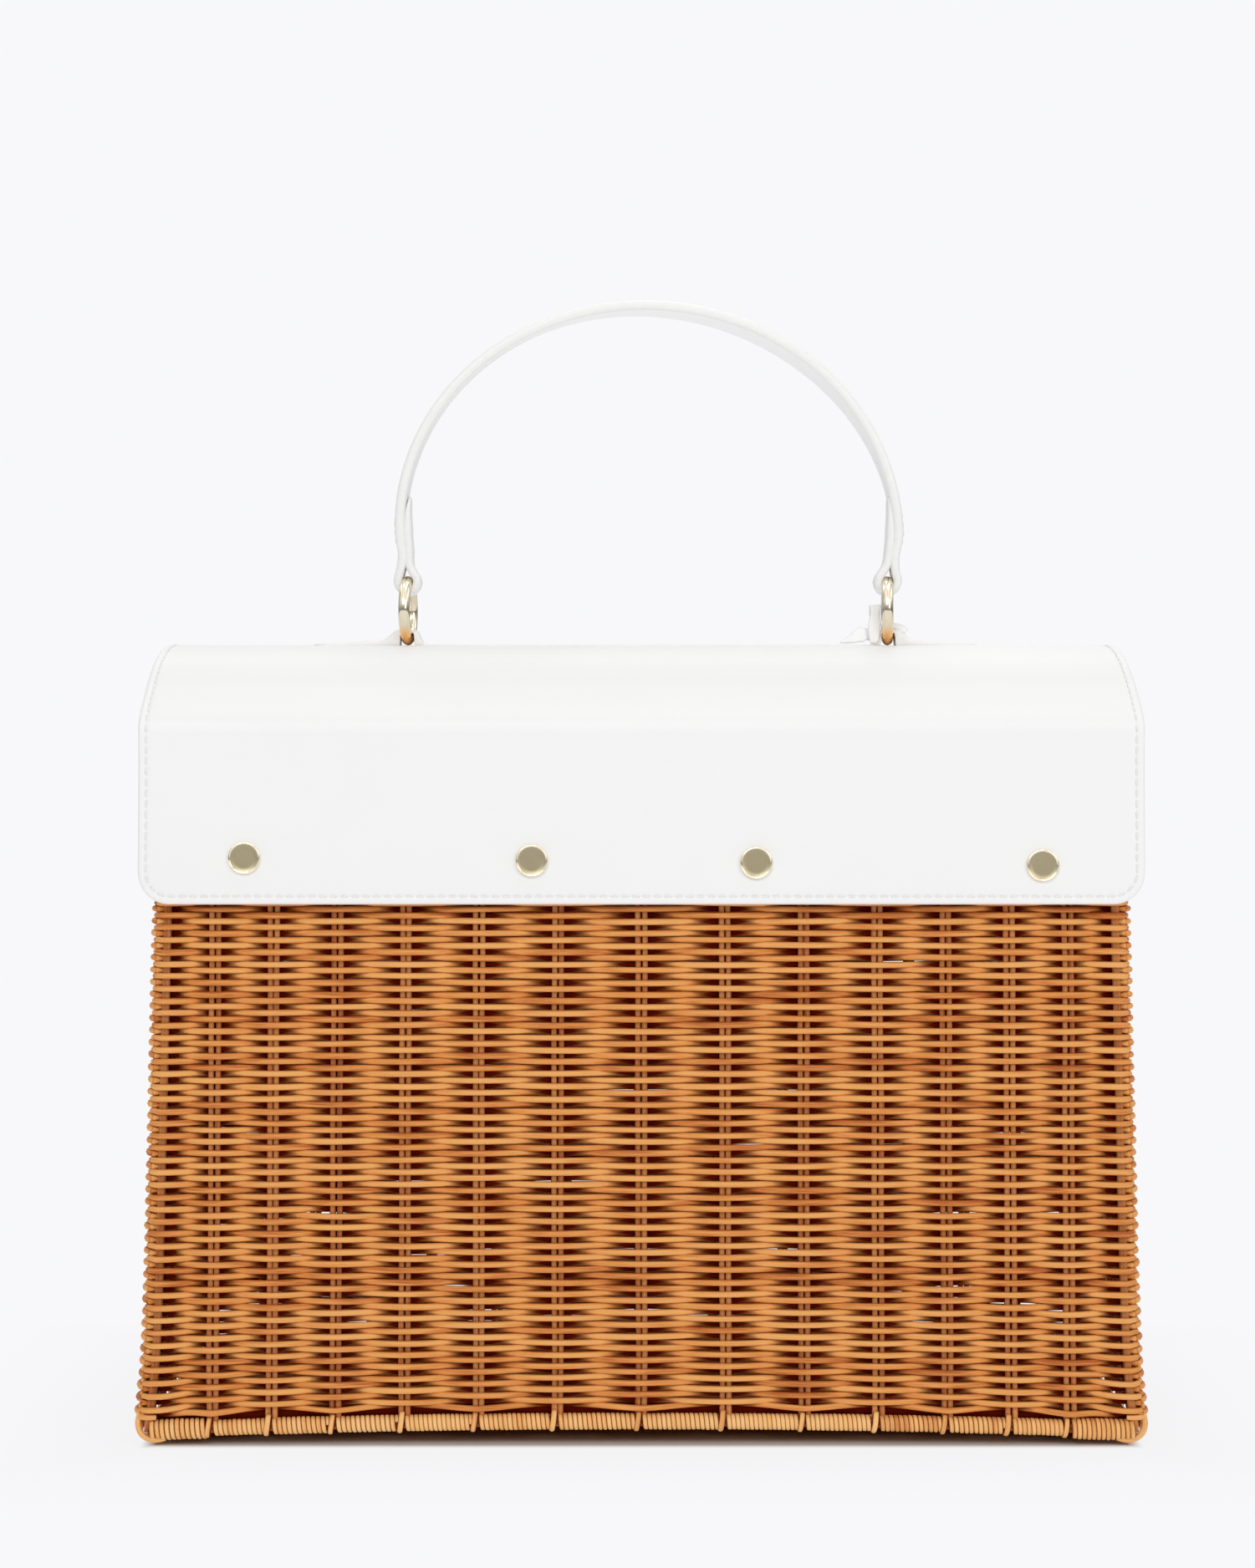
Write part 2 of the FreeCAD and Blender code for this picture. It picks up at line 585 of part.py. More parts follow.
def handle_strap():
    """A leather strap in an arch, each end folded round its ring and sewn back on itself."""
    outer, inner = handle_curve(0), handle_curve(HANDLE_T)
    ends = [Part.makeLine(outer.valueAt(p), inner.valueAt(q)) for p, q in (
        (outer.FirstParameter, inner.FirstParameter), (outer.LastParameter, inner.LastParameter))]
    faces = [Part.Face(Part.Wire([outer, ends[1], inner, ends[0]]))]
    loop_z = RING_Z + RING_R + 0.7
    for side, ring_x in zip((-1, 1), RING_X):
        edge = HANDLE_X + side * HANDLE_HALF_SPAN
        leg = [
            V(edge, 0, HANDLE_ARCH_Z + 0.5),
            V(ring_x + side * (LOOP_HALF_W - 0.2), 0, loop_z + 1),
            V(ring_x - side * (LOOP_HALF_W - 0.6), 0, loop_z + 1),
            V(ring_x - side * 2.2, 0, loop_z + 9),
            V(edge - side * 2 * HANDLE_T, 0, FOLD_BACK_TOP_Z - 4),
            V(edge - side * (HANDLE_T + 0.6), 0, FOLD_BACK_TOP_Z),
            V(edge - side * (HANDLE_T - 1.0), 0, HANDLE_ARCH_Z + 0.5),
        ]
        faces.append(Part.Face(Part.makePolygon(leg + leg[:1])))
        faces.append(ellipse_face(ring_x, loop_z, LOOP_HALF_W, LOOP_HALF_H))
    strap = None
    for face in faces:
        face.translate(V(0, -HANDLE_HALF_W, 0))
        slab = face.extrude(V(0, 2 * HANDLE_HALF_W, 0))
        strap = slab if strap is None else strap.fuse(slab)
    for x in RING_X:
        hole = ellipse_face(x, RING_Z + RING_R, LOOP_HOLE_HALF_W, LOOP_HOLE_HALF_H)
        hole.translate(V(0, -2 * HANDLE_HALF_W, 0))
        strap = strap.cut(hole.extrude(V(0, 4 * HANDLE_HALF_W, 0)))
    narrow, wide = RING_Z + 16.0, RING_Z + 42.0
    plan = [
        V(-BIG, -STRAP_WAIST_HALF_W, RING_Z), V(-BIG, STRAP_WAIST_HALF_W, RING_Z),
        V(-BIG, STRAP_WAIST_HALF_W, narrow), V(-BIG, HANDLE_HALF_W, wide),
        V(-BIG, HANDLE_HALF_W, BIG + 100), V(-BIG, -HANDLE_HALF_W, BIG + 100),
        V(-BIG, -HANDLE_HALF_W, wide), V(-BIG, -STRAP_WAIST_HALF_W, narrow),
    ]
    return strap.common(Part.Face(Part.makePolygon(plan + plan[:1])).extrude(V(2 * BIG, 0, 0)))


def tag_lace():
    """A short lace threaded through the right ring, above the ridge strap."""
    x, z = RING_X[1], RIDGE_Z
    centre = [(-17.6, 2.9), (-10.6, 4.9), (-6.2, 9.4), (-2.7, 12.6), (1.0, 11.9), (3.7, 8.6), (6.4, 6.9)]
    curve = Part.BSplineCurve()
    curve.interpolate([V(x + dx, 0, z + dz) for dx, dz in centre])
    edges = []
    for side in (-1, 1):
        points = []
        for i in range(19):
            p = curve.FirstParameter + (curve.LastParameter - curve.FirstParameter) * i / 18
            heading = curve.tangent(p)[0]
            outwards = V(-heading.z, 0, heading.x) * (side * LACE_T / 2)
            points.append(curve.value(p) + outwards + V(0, -LACE_HALF_W, 0))
        edge = Part.BSplineCurve()
        edge.interpolate(points)
        edges.append((edge.toShape(), points))
    ends = [Part.makeLine(edges[0][1][k], edges[1][1][k]) for k in (0, -1)]
    face = Part.Face(Part.Wire([edges[0][0], ends[1], edges[1][0], ends[0]]))
    return face.extrude(V(0, 2 * LACE_HALF_W, 0))


def save_basket():
    """Four woven walls with their stakes, the corner posts, the base and the two frames."""
    front_stakes = [lean_front(s) for s in stakes_front()]
    right_wall = lean_right(weave_right())
    right_stakes = [lean_right(s) for s in stakes_right()]
    save("weave_front", [lean_front(long_weave(STUD_DROP))])
    save("weave_back", [mirrored(lean_front(long_weave(RIVET_DROP)), "y")])
    save("weave_right", [right_wall])
    save("weave_left", [mirrored(right_wall, "x")])
    save("stakes_front", front_stakes)
    save("stakes_back", [mirrored(s, "y") for s in front_stakes])
    save("stakes_right", right_stakes)
    save("stakes_left", [mirrored(s, "x") for s in right_stakes])
    save("corner_posts", corner_posts())
    save("base_frame", [base_frame()])
    save("base_wraps", base_wraps())
    save("base_corner_bindings", base_corner_binding())
    save("stake_ties", stake_ties())
    save("base_panel", [base_panel()])
    save("rim_frame", [rim_frame()])
    save("rim_wraps", rim_wraps())


def save_back_of_cover():
    """The panel riveted to the back of the basket."""
    leather = drop_layer(1, STIFFENER_OUT, LEATHER_OUT, BACK_DROP)
    lining = drop_layer(1, LINING_IN, STIFFENER_OUT - LAYER_GAP, BACK_DROP)
    save("cover_back_leather", [pierced(leather, 1, RIVET_DROP, PIN_HOLE_R)])
    save("cover_back_lining", [pierced(lining, 1, RIVET_DROP, PIN_HOLE_R)])
    save("back_rivets", back_rivets())
    save("back_washers", washers(1, RIVET_DROP))


def save_top_of_cover():
    """The domed lid, the strap along its ridge and the lace."""
    save("cover_top_leather", [top_layer(STIFFENER_OUT, LEATHER_OUT, COVER_HALF_W)])
    stiffener = top_layer(LINING_OUT, STIFFENER_OUT - LAYER_GAP, COVER_HALF_W - STIFFENER_MARGIN)
    save("cover_top_stiffener", [stiffener])
    save("cover_top_lining", [top_layer(LINING_IN, LINING_OUT - LAYER_GAP, COVER_HALF_W)])
    save("ridge_strap", [ridge_strap()])
    save("tag_lace", [tag_lace()])


def save_front_of_cover():
    """The flap over the front with its closure studs, and the studs' other halves on the basket."""
    leather = drop_layer(-1, STIFFENER_OUT, LEATHER_OUT, FRONT_DROP)
    lining = drop_layer(-1, LINING_IN, STIFFENER_OUT - LAYER_GAP, FRONT_DROP)
    save("cover_front_leather", [pierced(leather, -1, STUD_DROP, PIN_HOLE_R)])
    save("cover_front_lining", [pierced(lining, -1, STUD_DROP, MAGNET_R + SLIP_GAP)])
    save("closure_caps", closure_caps())
    save("closure_magnets", closure_magnets())
    save("closure_keepers", closure_keepers())
    save("keeper_washers", washers(-1, STUD_DROP))


def build():
    os.makedirs("parts", exist_ok=True)
    save_basket()
    save_back_of_cover()
    save_top_of_cover()
    save_front_of_cover()
    save("ring_left", [ring(RING_X[0])])
    save("ring_right", [ring(RING_X[1])])
    save("handle_strap", [handle_strap()])


build()
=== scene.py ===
from math import asin, atan, ceil, cos, exp, pi, radians, sin, sqrt

import bpy
import numpy as np
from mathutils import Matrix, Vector


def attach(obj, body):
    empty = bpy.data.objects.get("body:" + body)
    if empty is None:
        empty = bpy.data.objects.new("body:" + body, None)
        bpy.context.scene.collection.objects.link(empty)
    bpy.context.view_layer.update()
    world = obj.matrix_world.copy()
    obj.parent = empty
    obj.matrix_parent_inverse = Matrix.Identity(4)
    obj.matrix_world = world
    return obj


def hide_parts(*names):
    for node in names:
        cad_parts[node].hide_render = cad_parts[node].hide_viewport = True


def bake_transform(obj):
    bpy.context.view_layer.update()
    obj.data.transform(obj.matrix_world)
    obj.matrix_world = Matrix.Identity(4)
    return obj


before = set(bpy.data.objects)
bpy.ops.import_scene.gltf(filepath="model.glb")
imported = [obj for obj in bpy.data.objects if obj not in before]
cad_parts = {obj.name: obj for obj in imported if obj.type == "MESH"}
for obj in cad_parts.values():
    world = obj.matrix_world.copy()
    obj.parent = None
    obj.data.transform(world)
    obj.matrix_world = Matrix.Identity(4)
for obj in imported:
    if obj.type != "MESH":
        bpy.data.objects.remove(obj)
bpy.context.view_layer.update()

scene = bpy.context.scene
MM = 0.001
X, Y, Z = np.eye(3)
rng = np.random.default_rng(20)

# Basket, in millimetres, measured to the outside of the weave
RIM_HALF_W, RIM_HALF_D, FOOT_HALF_D = 165.5, 66, 75
FOOT_Z, RIM_Z = 6, 240
END_HALF_W, END_SLOPE, FLARE, FLARE_FADE = 165.8, 0.0167, 2.7, 16
WALL_HALF, CORNER_BEND = 3.2, 3.5
CORNERS = [(sx, sy) for sx in (-1, 1) for sy in (-1, 1)]

# Weave: wefts pass outside and inside pairs of stakes
WEFT_R, WEFT_PITCH, WEFT_REACH, POST_REACH, CORNER_REACH = 1.06, 2.066, 2.1, 2.6, 1.9
WEFT_BOTTOM, WEFT_ROWS, BEHIND_SWELL = 11.1, 108, 0.25
# Painted shade on the cane: full where a strand's outer face lies DARK_DEPTH behind others, fading out over
# DARK_FADE.
DARK_DEPTH, DARK_FADE = 2.1, 2
STAKE_R, STAKE_HALF_PITCH, POST_R = 1.08, 1.12, 1.5
STAKE_PITCH, STAKE_CLOSING = 29.2, 0.85
STAKE_X = np.array([STAKE_PITCH * i - STAKE_CLOSING * i * abs(i) for i in range(-6, 7)])
END_STAKES = np.array([-46, -23.5, 0, 23.5, 46])
FRONT_POST_IN, END_POST_IN = 6, 10
FILLER_R, FILLER_IN = 2.2, 5.2

# Base border and bottom, and the rim
RAIL_Y, RAIL_X, RAIL_WIND_X, END_RAIL_REACH = 71.6, 166.3, 165.6, 67.1
RAIL_ROD_R, RAIL_R, RAIL_END_R, END_RAIL_R = 1.8, 2.9, 3.7, 3.4
RAIL_LOW, RAIL_BOW, RAIL_BOW_HALF, RAIL_BOW_POWER = 8, 2.75, 158, 2.2
WRAP_R, WRAP_PITCH, WRAP_FLAT = 0.92, 1.65, 0.85
PANEL_R, PANEL_PITCH, PANEL_REACH = 1.1, 2.25, 1.7
RIM_ROD_R, RIM_R, RIM_WRAP = 2.2, 4, (1.1, 2.1, 0.8)
ROD_X, ROD_Y = RIM_HALF_W - WALL_HALF, RIM_HALF_D - WALL_HALF

# Cover, measured outwards from the centre of the rim rod
LINING_IN, LEATHER_OUT = 4.9, 7.7
COVER_HALF_W, COVER_CORNER = 170, 11
FRONT_DROP, BACK_DROP = 58, 45
RIDGE_Z = 273
ARCH_APEX = RIDGE_Z - LEATHER_OUT
ARCH_Z = (ARCH_APEX + RIM_Z - ROD_Y**2 / (ARCH_APEX - RIM_Z)) / 2
ARCH_R = ARCH_APEX - ARCH_Z
LEAN = atan((FOOT_HALF_D - RIM_HALF_D) / (RIM_Z - FOOT_Z))
STITCH_IN, STITCH_PITCH = 2.8, 3.63
EDGE_STEPS = [0, 0.1, 0.3, 0.6, 1, 1.5, 2, 2.4, 2.8, 3.2, 3.7, 4.4, 5.4, 6.8, 8.6, 11]
REAR_FOLD_Z, FRONT_FOLD_Z = (238.8, 247.8), (242, 232.5)

# Studs, rings, handle and ridge strap
STUD_X = (-134, -37, 38.7, 135.3)
STUD_DROP, RIVET_DROP, STUD_FALL = 43.6, 31, 0.0093
RING_Z, RING_R, WIRE_R, RING_YAW = 285.65, 10.5, 2, -4
HANDLE_X, RING_SPAN = 2.6, 86.6
RING_X = (HANDLE_X - RING_SPAN, HANDLE_X + RING_SPAN)
HANDLE_FOOT, HANDLE_RISE, HANDLE_HALF_W, HANDLE_HALF_T, HANDLE_LEAN = 313, 83.8, 92.1, 1.8, 1.1
RIDGE_ENDS, RIDGE_HUMP, RIDGE_STITCH_Y = (-117.5, 120.8), 5.7, 5.6


# ------ meshes


def unit(v):
    return v / np.linalg.norm(v, axis=-1, keepdims=True)


def distances(points):
    """Length along a line of points, from its start to each point."""
    return np.r_[0, np.cumsum(np.linalg.norm(np.diff(points, axis=0), axis=1))]


def look_up(s, run, values):
    """Rows of values, known at run, read off at s."""
    return np.stack([np.interp(s, run, column) for column in np.asarray(values).T], -1)


def smooth_step(x):
    return x * x * (3 - 2 * x)


def circle(count):
    angle = np.arange(count) * 2 * pi / count
    return np.cos(angle), np.sin(angle)


def wiggle(count, size, length):
    """A smooth random line of that many points."""
    knots = rng.normal(0, size, max(4, int(count / length) + 4))
    return np.interp(np.linspace(0, len(knots) - 1, count), np.arange(len(knots)), knots)


def build_mesh(name, verts, polys, face_mats=None):
    """A mesh from vertices in millimetres and index arrays, one array per number of corners."""
    mesh = bpy.data.meshes.new(name)
    co = np.asarray(verts, np.float32) * MM
    mesh.vertices.add(len(co))
    mesh.vertices.foreach_set("co", co.ravel())
    polys = [np.asarray(p, np.int32) for p in polys]
    loops = np.hstack([p.ravel() for p in polys])
    totals = np.hstack([np.full(len(p), p.shape[1]) for p in polys])
    mesh.loops.add(len(loops))
    mesh.loops.foreach_set("vertex_index", loops)
    mesh.polygons.add(len(totals))
    mesh.polygons.foreach_set("loop_start", np.r_[0, np.cumsum(totals)[:-1]].astype(np.int32))
    if face_mats is not None:
        mesh.polygons.foreach_set("material_index", np.asarray(face_mats, np.int32))
    mesh.update(calc_edges=True)
    mesh.shade_smooth()
    return mesh


def joined_mesh(name, shapes):
    """One mesh from shapes of vertices, quads, caps and, if they differ, materials of both."""
    verts, quads, caps, *mats = zip(*shapes)
    starts = np.cumsum([0] + [len(v) for v in verts])
    polys = [np.vstack([p + start for p, start in zip(part, starts)]) for part in (quads, caps)]
    face_mats = np.hstack([m for part in mats for m in part]) if mats else None
    return build_mesh(name, np.vstack(verts), polys, face_mats)


def tube_faces(rows, around):
    """Quads between the rows of points round a tube, and its two end caps."""
    j = np.arange(around)
    j2 = np.roll(j, -1)
    base = np.arange(rows - 1)[:, None] * around
    quads = np.stack([base + j, base + j2, base + j2 + around, base + j + around], -1).reshape(-1, 4)
    return quads, np.array([j[::-1], (rows - 1) * around + j])


def add_object(data):
    made = bpy.data.objects.new(data.name, data)
    scene.collection.objects.link(made)
    return made


def add_piece(mesh, materials, nodes=(), body=None):
    """Puts the mesh in the scene, on its body, in place of its CAD nodes."""
    piece = add_object(mesh)
    for material in materials:
        mesh.materials.append(material)
    if body:
        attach(piece, body)
    if nodes:
        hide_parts(*nodes)
    return piece


class Bundle:
    """Strands gathered into one mesh.

    Each point is marked for the cane material: its place round and along the strand, the strand's random
    number, and how much painted shade it takes (0 to 1) in the weave's crevices and behind other strands.
    """

    def __init__(self, sides):
        self.sides, self.shapes, self.marks = sides, [], []

    def add(self, points, radius, up=Z, flat=1, seam=(0, 0), buried=None):
        """A strand along the points. flat below 1 thins it along up.

        seam paints shade on the flanks that touch neighbours (across up, along up). buried gives outward
        directions
        and how far it stands out along them: what faces outwards from behind other strands gets painted
        shade.
        """
        n, k = len(points), self.sides
        radii = np.broadcast_to(radius, n)[:, None, None]
        tangent = unit(np.gradient(points, axis=0))
        side = unit(np.cross(up, tangent))
        over = np.cross(tangent, side)
        c, s = circle(k)
        spoke = c[None, :, None] * side[:, None] + flat * s[None, :, None] * over[:, None]
        fibre = np.stack(np.broadcast_arrays(c, s, distances(points)[:, None]), -1)
        # Painted shade on the flanks that touch neighbouring strands.
        painted_shade_mask = np.broadcast_to(seam[0] * np.abs(c) ** 5 + seam[1] * np.abs(s) ** 5, (n, k))
        if buried is not None:
            # Painted shade on what faces outwards from behind other strands.
            outward, stand = buried
            facing = np.einsum("nkj,nj->nk", spoke, outward)
            clear = np.clip((stand[:, None] * facing + DARK_DEPTH) / DARK_FADE, 0, 1)
            painted_shade_mask = np.maximum(painted_shade_mask, 1 - smooth_step(clear))
        self.marks.append((fibre.ravel(), np.full(n * k, rng.random()), painted_shade_mask.ravel()))
        self.shapes.append(((points[:, None] + radii * spoke).reshape(-1, 3), *tube_faces(n, k)))

    def piece(self, name, material, slot, nodes=(), body="basket"):
        mesh = joined_mesh(name, self.shapes)
        for key, values in zip(("fibre", "strand", "painted_shade_mask"), zip(*self.marks)):
            kind, field = ("FLOAT_VECTOR", "vector") if key == "fibre" else ("FLOAT", "value")
            attribute = mesh.attributes.new(key, kind, "POINT")
            attribute.data.foreach_set(field, np.concatenate(values).astype(np.float32))
        return add_piece(mesh, [material], nodes, body)


def smooth_line(points, count):
    """A smooth curve through the points, sampled evenly by chord length."""
    p = np.asarray(points, float)
    t = distances(p)
    slope = np.gradient(p, t, axis=0)
    u = np.linspace(0, t[-1], count)
    i = np.clip(np.searchsorted(t, u, side="right") - 1, 0, len(t) - 2)
    h = (t[i + 1] - t[i])[:, None]
    x = (u - t[i])[:, None] / h
    return ((2 * x**3 - 3 * x**2 + 1) * p[i] + (x**3 - 2 * x**2 + x) * h * slope[i]
            + (3 * x**2 - 2 * x**3) * p[i + 1] + (x**3 - x**2) * h * slope[i + 1])


# ------ materials


class Nodes:
    """Wires up the node tree of a material or a world."""

    def __init__(self, owner):
        owner.use_nodes = True
        self.owner, self.tree = owner, owner.node_tree
        self.shader = self.tree.nodes.get("Principled BSDF")

    def feed(self, socket, value):
        """Links another node or its output, and stores any other value."""
        if isinstance(value, bpy.types.Node):
            value = value.outputs[0]
        if isinstance(value, bpy.types.NodeSocket):
            self.tree.links.new(value, socket)
        else:
            socket.default_value = value

    def add(self, kind, inputs=(), **settings):
        node = self.tree.nodes.new("ShaderNode" + kind)
        for key, value in settings.items():
            setattr(node, key, value)
        for key, value in dict(inputs).items():
            self.feed(node.inputs[key], value)
        return node

    def ramp(self, factor, *stops):
        node = self.add("ValToRGB", {"Fac": factor})
        ramp = node.color_ramp
        while len(ramp.elements) < len(stops):
            ramp.elements.new(0.5)
        for element, (place, colour) in zip(ramp.elements, stops):
            element.position = place
            element.color = (*colour, 1) if isinstance(colour, tuple) else (colour, colour, colour, 1)
        return node.outputs["Color"]

    def math(self, operation, a, b=0, c=0):
        return self.add("Math", {0: a, 1: b, 2: c}, operation=operation).outputs[0]

    def plus(self, a, b):
        return self.math("ADD", a, b)

    def times(self, a, b):
        return self.math("MULTIPLY", a, b)

    def mix(self, factor, a, b, blend="MIX"):
        node = self.add("Mix", data_type="RGBA", blend_type=blend)
        for key, value in ((0, factor), (6, a), (7, b)):
            self.feed(node.inputs[key], (*value, 1) if isinstance(value, tuple) else value)
        return node.outputs[2]

    def noise(self, scale, detail, vector, rough=0.5):
        inputs = {"Scale": scale, "Detail": detail, "Roughness": rough, "Vector": vector}
        return self.add("TexNoise", inputs).outputs["Fac"]

    def wave(self, scale, distortion, direction):
        inputs = {"Vector": self.place(), "Scale": scale, "Distortion": distortion}
        return self.add("TexWave", inputs, bands_direction=direction).outputs["Fac"]

    def parts(self, vector):
        return self.add("SeparateXYZ", {0: vector}).outputs

    def place(self):
        return self.add("TexCoord").outputs["Object"]

    def height_share(self, low, high):
        """How far up a point is between two heights, 0 to 1."""
        height = self.parts(self.place())["Z"]
        return self.add("MapRange", {"Value": height, "From Min": low, "From Max": high}).outputs["Result"]

    def bump(self, height, strength, distance):
        node = self.add("Bump", {"Height": height, "Strength": strength, "Distance": distance})
        self.set(Normal=node)

    def set(self, **inputs):
        for key, value in inputs.items():
            self.feed(self.shader.inputs[key.replace("_", " ")], value)


def material_nodes(name):
    return Nodes(bpy.data.materials.new(name))


def srgb(r, g, b):
    """A display colour of 0 to 255 as linear values."""
    return tuple((c / 255 / 12.92) if c <= 10 else ((c / 255 + 0.055) / 1.055) ** 2.4 for c in (r, g, b))


def darker(colour, factor):
    return tuple(c * factor for c in colour)


def cane_material(name, light, middle, dark):
    """Round cane: fibres, a shade for each strand, flecks, and painted shade with dimmed gloss in the weave's
    crevices.
    """
    n = material_nodes(name)

    def mark(name, output="Fac"):
        return n.add("Attribute", attribute_name=name).outputs[output]

    strand = mark("strand")
    parts = n.parts(mark("fibre", "Vector"))
    along = n.plus(parts["Z"], n.times(strand, 731))

    def fibre_noise(detail, round_scale, along_scale, rough=0.5):
        across = {axis: n.times(parts[axis], round_scale) for axis in "XY"}
        stretched = n.add("CombineXYZ", {**across, "Z": n.times(along, along_scale)})
        return n.noise(1, detail, stretched, rough)

    streaks = fibre_noise(4, 3.2, 0.11, 0.6)
    patches = fibre_noise(2, 0.35, 0.035)
    flecks = fibre_noise(3, 1.6, 0.42, 0.7)
    shade = n.plus(n.times(streaks, 0.55), n.times(patches, 0.6))
    shade = n.plus(shade, n.times(n.math("SUBTRACT", strand, 0.5), 0.22))
    colour = n.ramp(shade, (0.34, dark), (0.50, middle), (0.68, light))
    colour = n.mix(n.ramp(flecks, (0.66, 0), (0.78, 0.55)), colour, darker(dark, 0.35))
    # Painted shade: crevices and strands behind others turn dark red-brown and lose their gloss.
    painted_shade_mask = n.ramp(mark("painted_shade_mask"), (0.12, 0), (0.72, 1))
    painted_shade_tint = n.mix(painted_shade_mask, (1, 1, 1), (0.22, 0.03, 0.005))
    n.set(Base_Color=n.mix(1, colour, painted_shade_tint, "MULTIPLY"),
          Roughness=n.ramp(streaks, (0.3, 0.34), (0.75, 0.58)),
          Specular_IOR_Level=n.math("MULTIPLY_ADD", painted_shade_mask, -0.24, 0.24))
    n.bump(n.plus(streaks, n.times(flecks, 0.5)), 0.35, 0.00012)
    return n.owner


def leather_material(name, base, grain, shade_band=None):
    """Coated leather: fine grain, faint clouding, and a painted shade band between two heights, if given."""
    n = material_nodes(name)
    place = n.place()
    cloud = n.noise(26, 3, place)
    pebbles = n.add("TexVoronoi", {"Vector": place, "Scale": 1500}, feature="F1").outputs["Distance"]
    folds = n.noise(520, 4, place, 0.6)
    colour = n.mix(n.ramp(cloud, (0.35, 0), (0.65, 1)), darker(base, 0.985), base)
    # Painted shade: the leather is darker in a band across the cover's shoulder, where less light falls.
    if shade_band:
        shoulder_shade = n.ramp(n.height_share(*shade_band),
                      (0, 0.35), (0.12, 0.8), (0.55, 0.85), (0.68, 1), (0.85, 0.6), (1, 0))
        colour = n.mix(shoulder_shade, colour, darker(base, 0.925))
    n.set(Base_Color=colour, Roughness=n.ramp(folds, (0.3, 0.44), (0.7, 0.55)), Specular_IOR_Level=0.42)
    n.bump(n.plus(pebbles, n.times(folds, 0.8)), grain, 0.00008)
    return n.owner


def paint_material(name, base):
    """Edge paint: even and slightly glossy, with small runs."""
    n = material_nodes(name)
    runs = n.noise(420, 2, n.place())
    n.set(Base_Color=n.mix(runs, darker(base, 0.93), base), Roughness=0.38)
    n.bump(runs, 0.06, 0.00006)
    return n.owner


def thread_material(name, base):
    """Sewing thread: fine twisted plies."""
    n = material_nodes(name)
    ply = n.wave(1400, 1.5, "DIAGONAL")
    n.set(Base_Color=n.mix(ply, darker(base, 0.86), base), Roughness=0.6)
    n.bump(ply, 0.4, 0.0001)
    return n.owner


def lining_material(name, base):
    """Plain woven cloth, one thread about every 0.4 mm."""
    n = material_nodes(name)
    warp, weft, rise = (n.wave(400, 0.6, direction) for direction in "XYZ")
    weave = n.times(warp, n.math("MAXIMUM", weft, rise))
    slub = n.noise(240, 3, n.place())
    tone = n.plus(n.times(weave, 0.6), n.times(slub, 0.4))
    n.set(Base_Color=n.mix(tone, darker(base, 0.72), base), Roughness=0.85, Specular_IOR_Level=0.2)
    n.bump(weave, 0.5, 0.0002)
    return n.owner


def metal_material(name, base, rough, foot=None):
    """Plated metal with hairlines. foot is a height band and the tone of a painted warm reflection at its low
    end.
    """
    n = material_nodes(name)
    wide = n.noise(160, 2, n.place())
    fine = n.noise(2600, 3, n.place(), 0.7)
    colour = n.mix(wide, darker(base, 0.9), base)
    # Painted reflection: below the band the metal takes a warm tone.
    if foot:
        low, high, tone = foot
        colour = n.mix(n.height_share(low, high), tone, colour)
    n.set(Base_Color=colour, Metallic=1,
          Roughness=n.ramp(fine, (0.3, rough - 0.05), (0.75, rough + 0.1)))
    n.bump(fine, 0.25, 0.00002)
    return n.owner


CANE = cane_material("cane", srgb(238, 172, 98), srgb(222, 142, 70), srgb(174, 86, 30))
CANE_STAKE = cane_material("cane_stake", srgb(216, 142, 80), srgb(188, 106, 52), srgb(136, 58, 22))
CANE_WRAP = cane_material("cane_wrap", srgb(252, 200, 132), srgb(246, 184, 112), srgb(212, 136, 72))
CANE_PITH = cane_material("cane_pith", srgb(236, 220, 205), srgb(226, 204, 186), srgb(196, 160, 132))
# White leather with a painted shade band across the cover's shoulder.
LEATHER = leather_material("white_leather", srgb(247, 247, 246), 0.12, shade_band=(0.2430, 0.2665))
STRAP_LEATHER = leather_material("strap_leather", srgb(250, 250, 250), 0.04)
EDGE = paint_material("edge_paint", srgb(244, 244, 242))
THREAD = thread_material("thread", srgb(250, 250, 248))
LINING = lining_material("lining_cloth", srgb(226, 218, 202))
# The rings' feet carry a painted warm reflection.
GOLD = metal_material("polished_gold", srgb(240, 228, 202), 0.08, foot=(0.2765, 0.2800, srgb(250, 198, 128)))
RIM_GOLD = metal_material("rim_gold", srgb(250, 238, 212), 0.12)
CAP_FACE = metal_material("satin_cap", srgb(178, 166, 136), 0.36)
STEEL = metal_material("plain_steel", srgb(200, 200, 204), 0.28)


# ------ basket


def outer_half(z):
    """Half width and depth of the basket at height z. The ends flare out at the foot."""
    half_w = END_HALF_W + END_SLOPE * (RIM_Z - z) + FLARE * np.exp((FOOT_Z - z) / FLARE_FADE)
    return half_w, FOOT_HALF_D + (RIM_HALF_D - FOOT_HALF_D) * (z - FOOT_Z) / (RIM_Z - FOOT_Z)


def wall_point(along, out, z, long_wall):
    """A point along the front or right wall, out from the basket's middle, and up."""
    along, out, z = np.broadcast_arrays(along, out, z)
    return np.stack([along, -out, z] if long_wall else [out, along, z], -1)


def wall_path(t, z, long_wall):
    """Points and outward normals along a wall and half of each corner, t from its centre."""
    half_w, half_d = outer_half(z)
    run, depth = (half_w, half_d) if long_wall else (half_d, half_w)
    straight = run - WALL_HALF - CORNER_BEND
    over = np.clip(np.abs(t) - straight, 0, None) / CORNER_BEND
    along = np.clip(t, -straight, straight) + np.sign(t) * CORNER_BEND * np.sin(over)
    out = depth - WALL_HALF - CORNER_BEND * (1 - np.cos(over))
    return (wall_point(along, out, z, long_wall),
            wall_point(np.sign(t) * np.sin(over), np.cos(over), 0, long_wall))


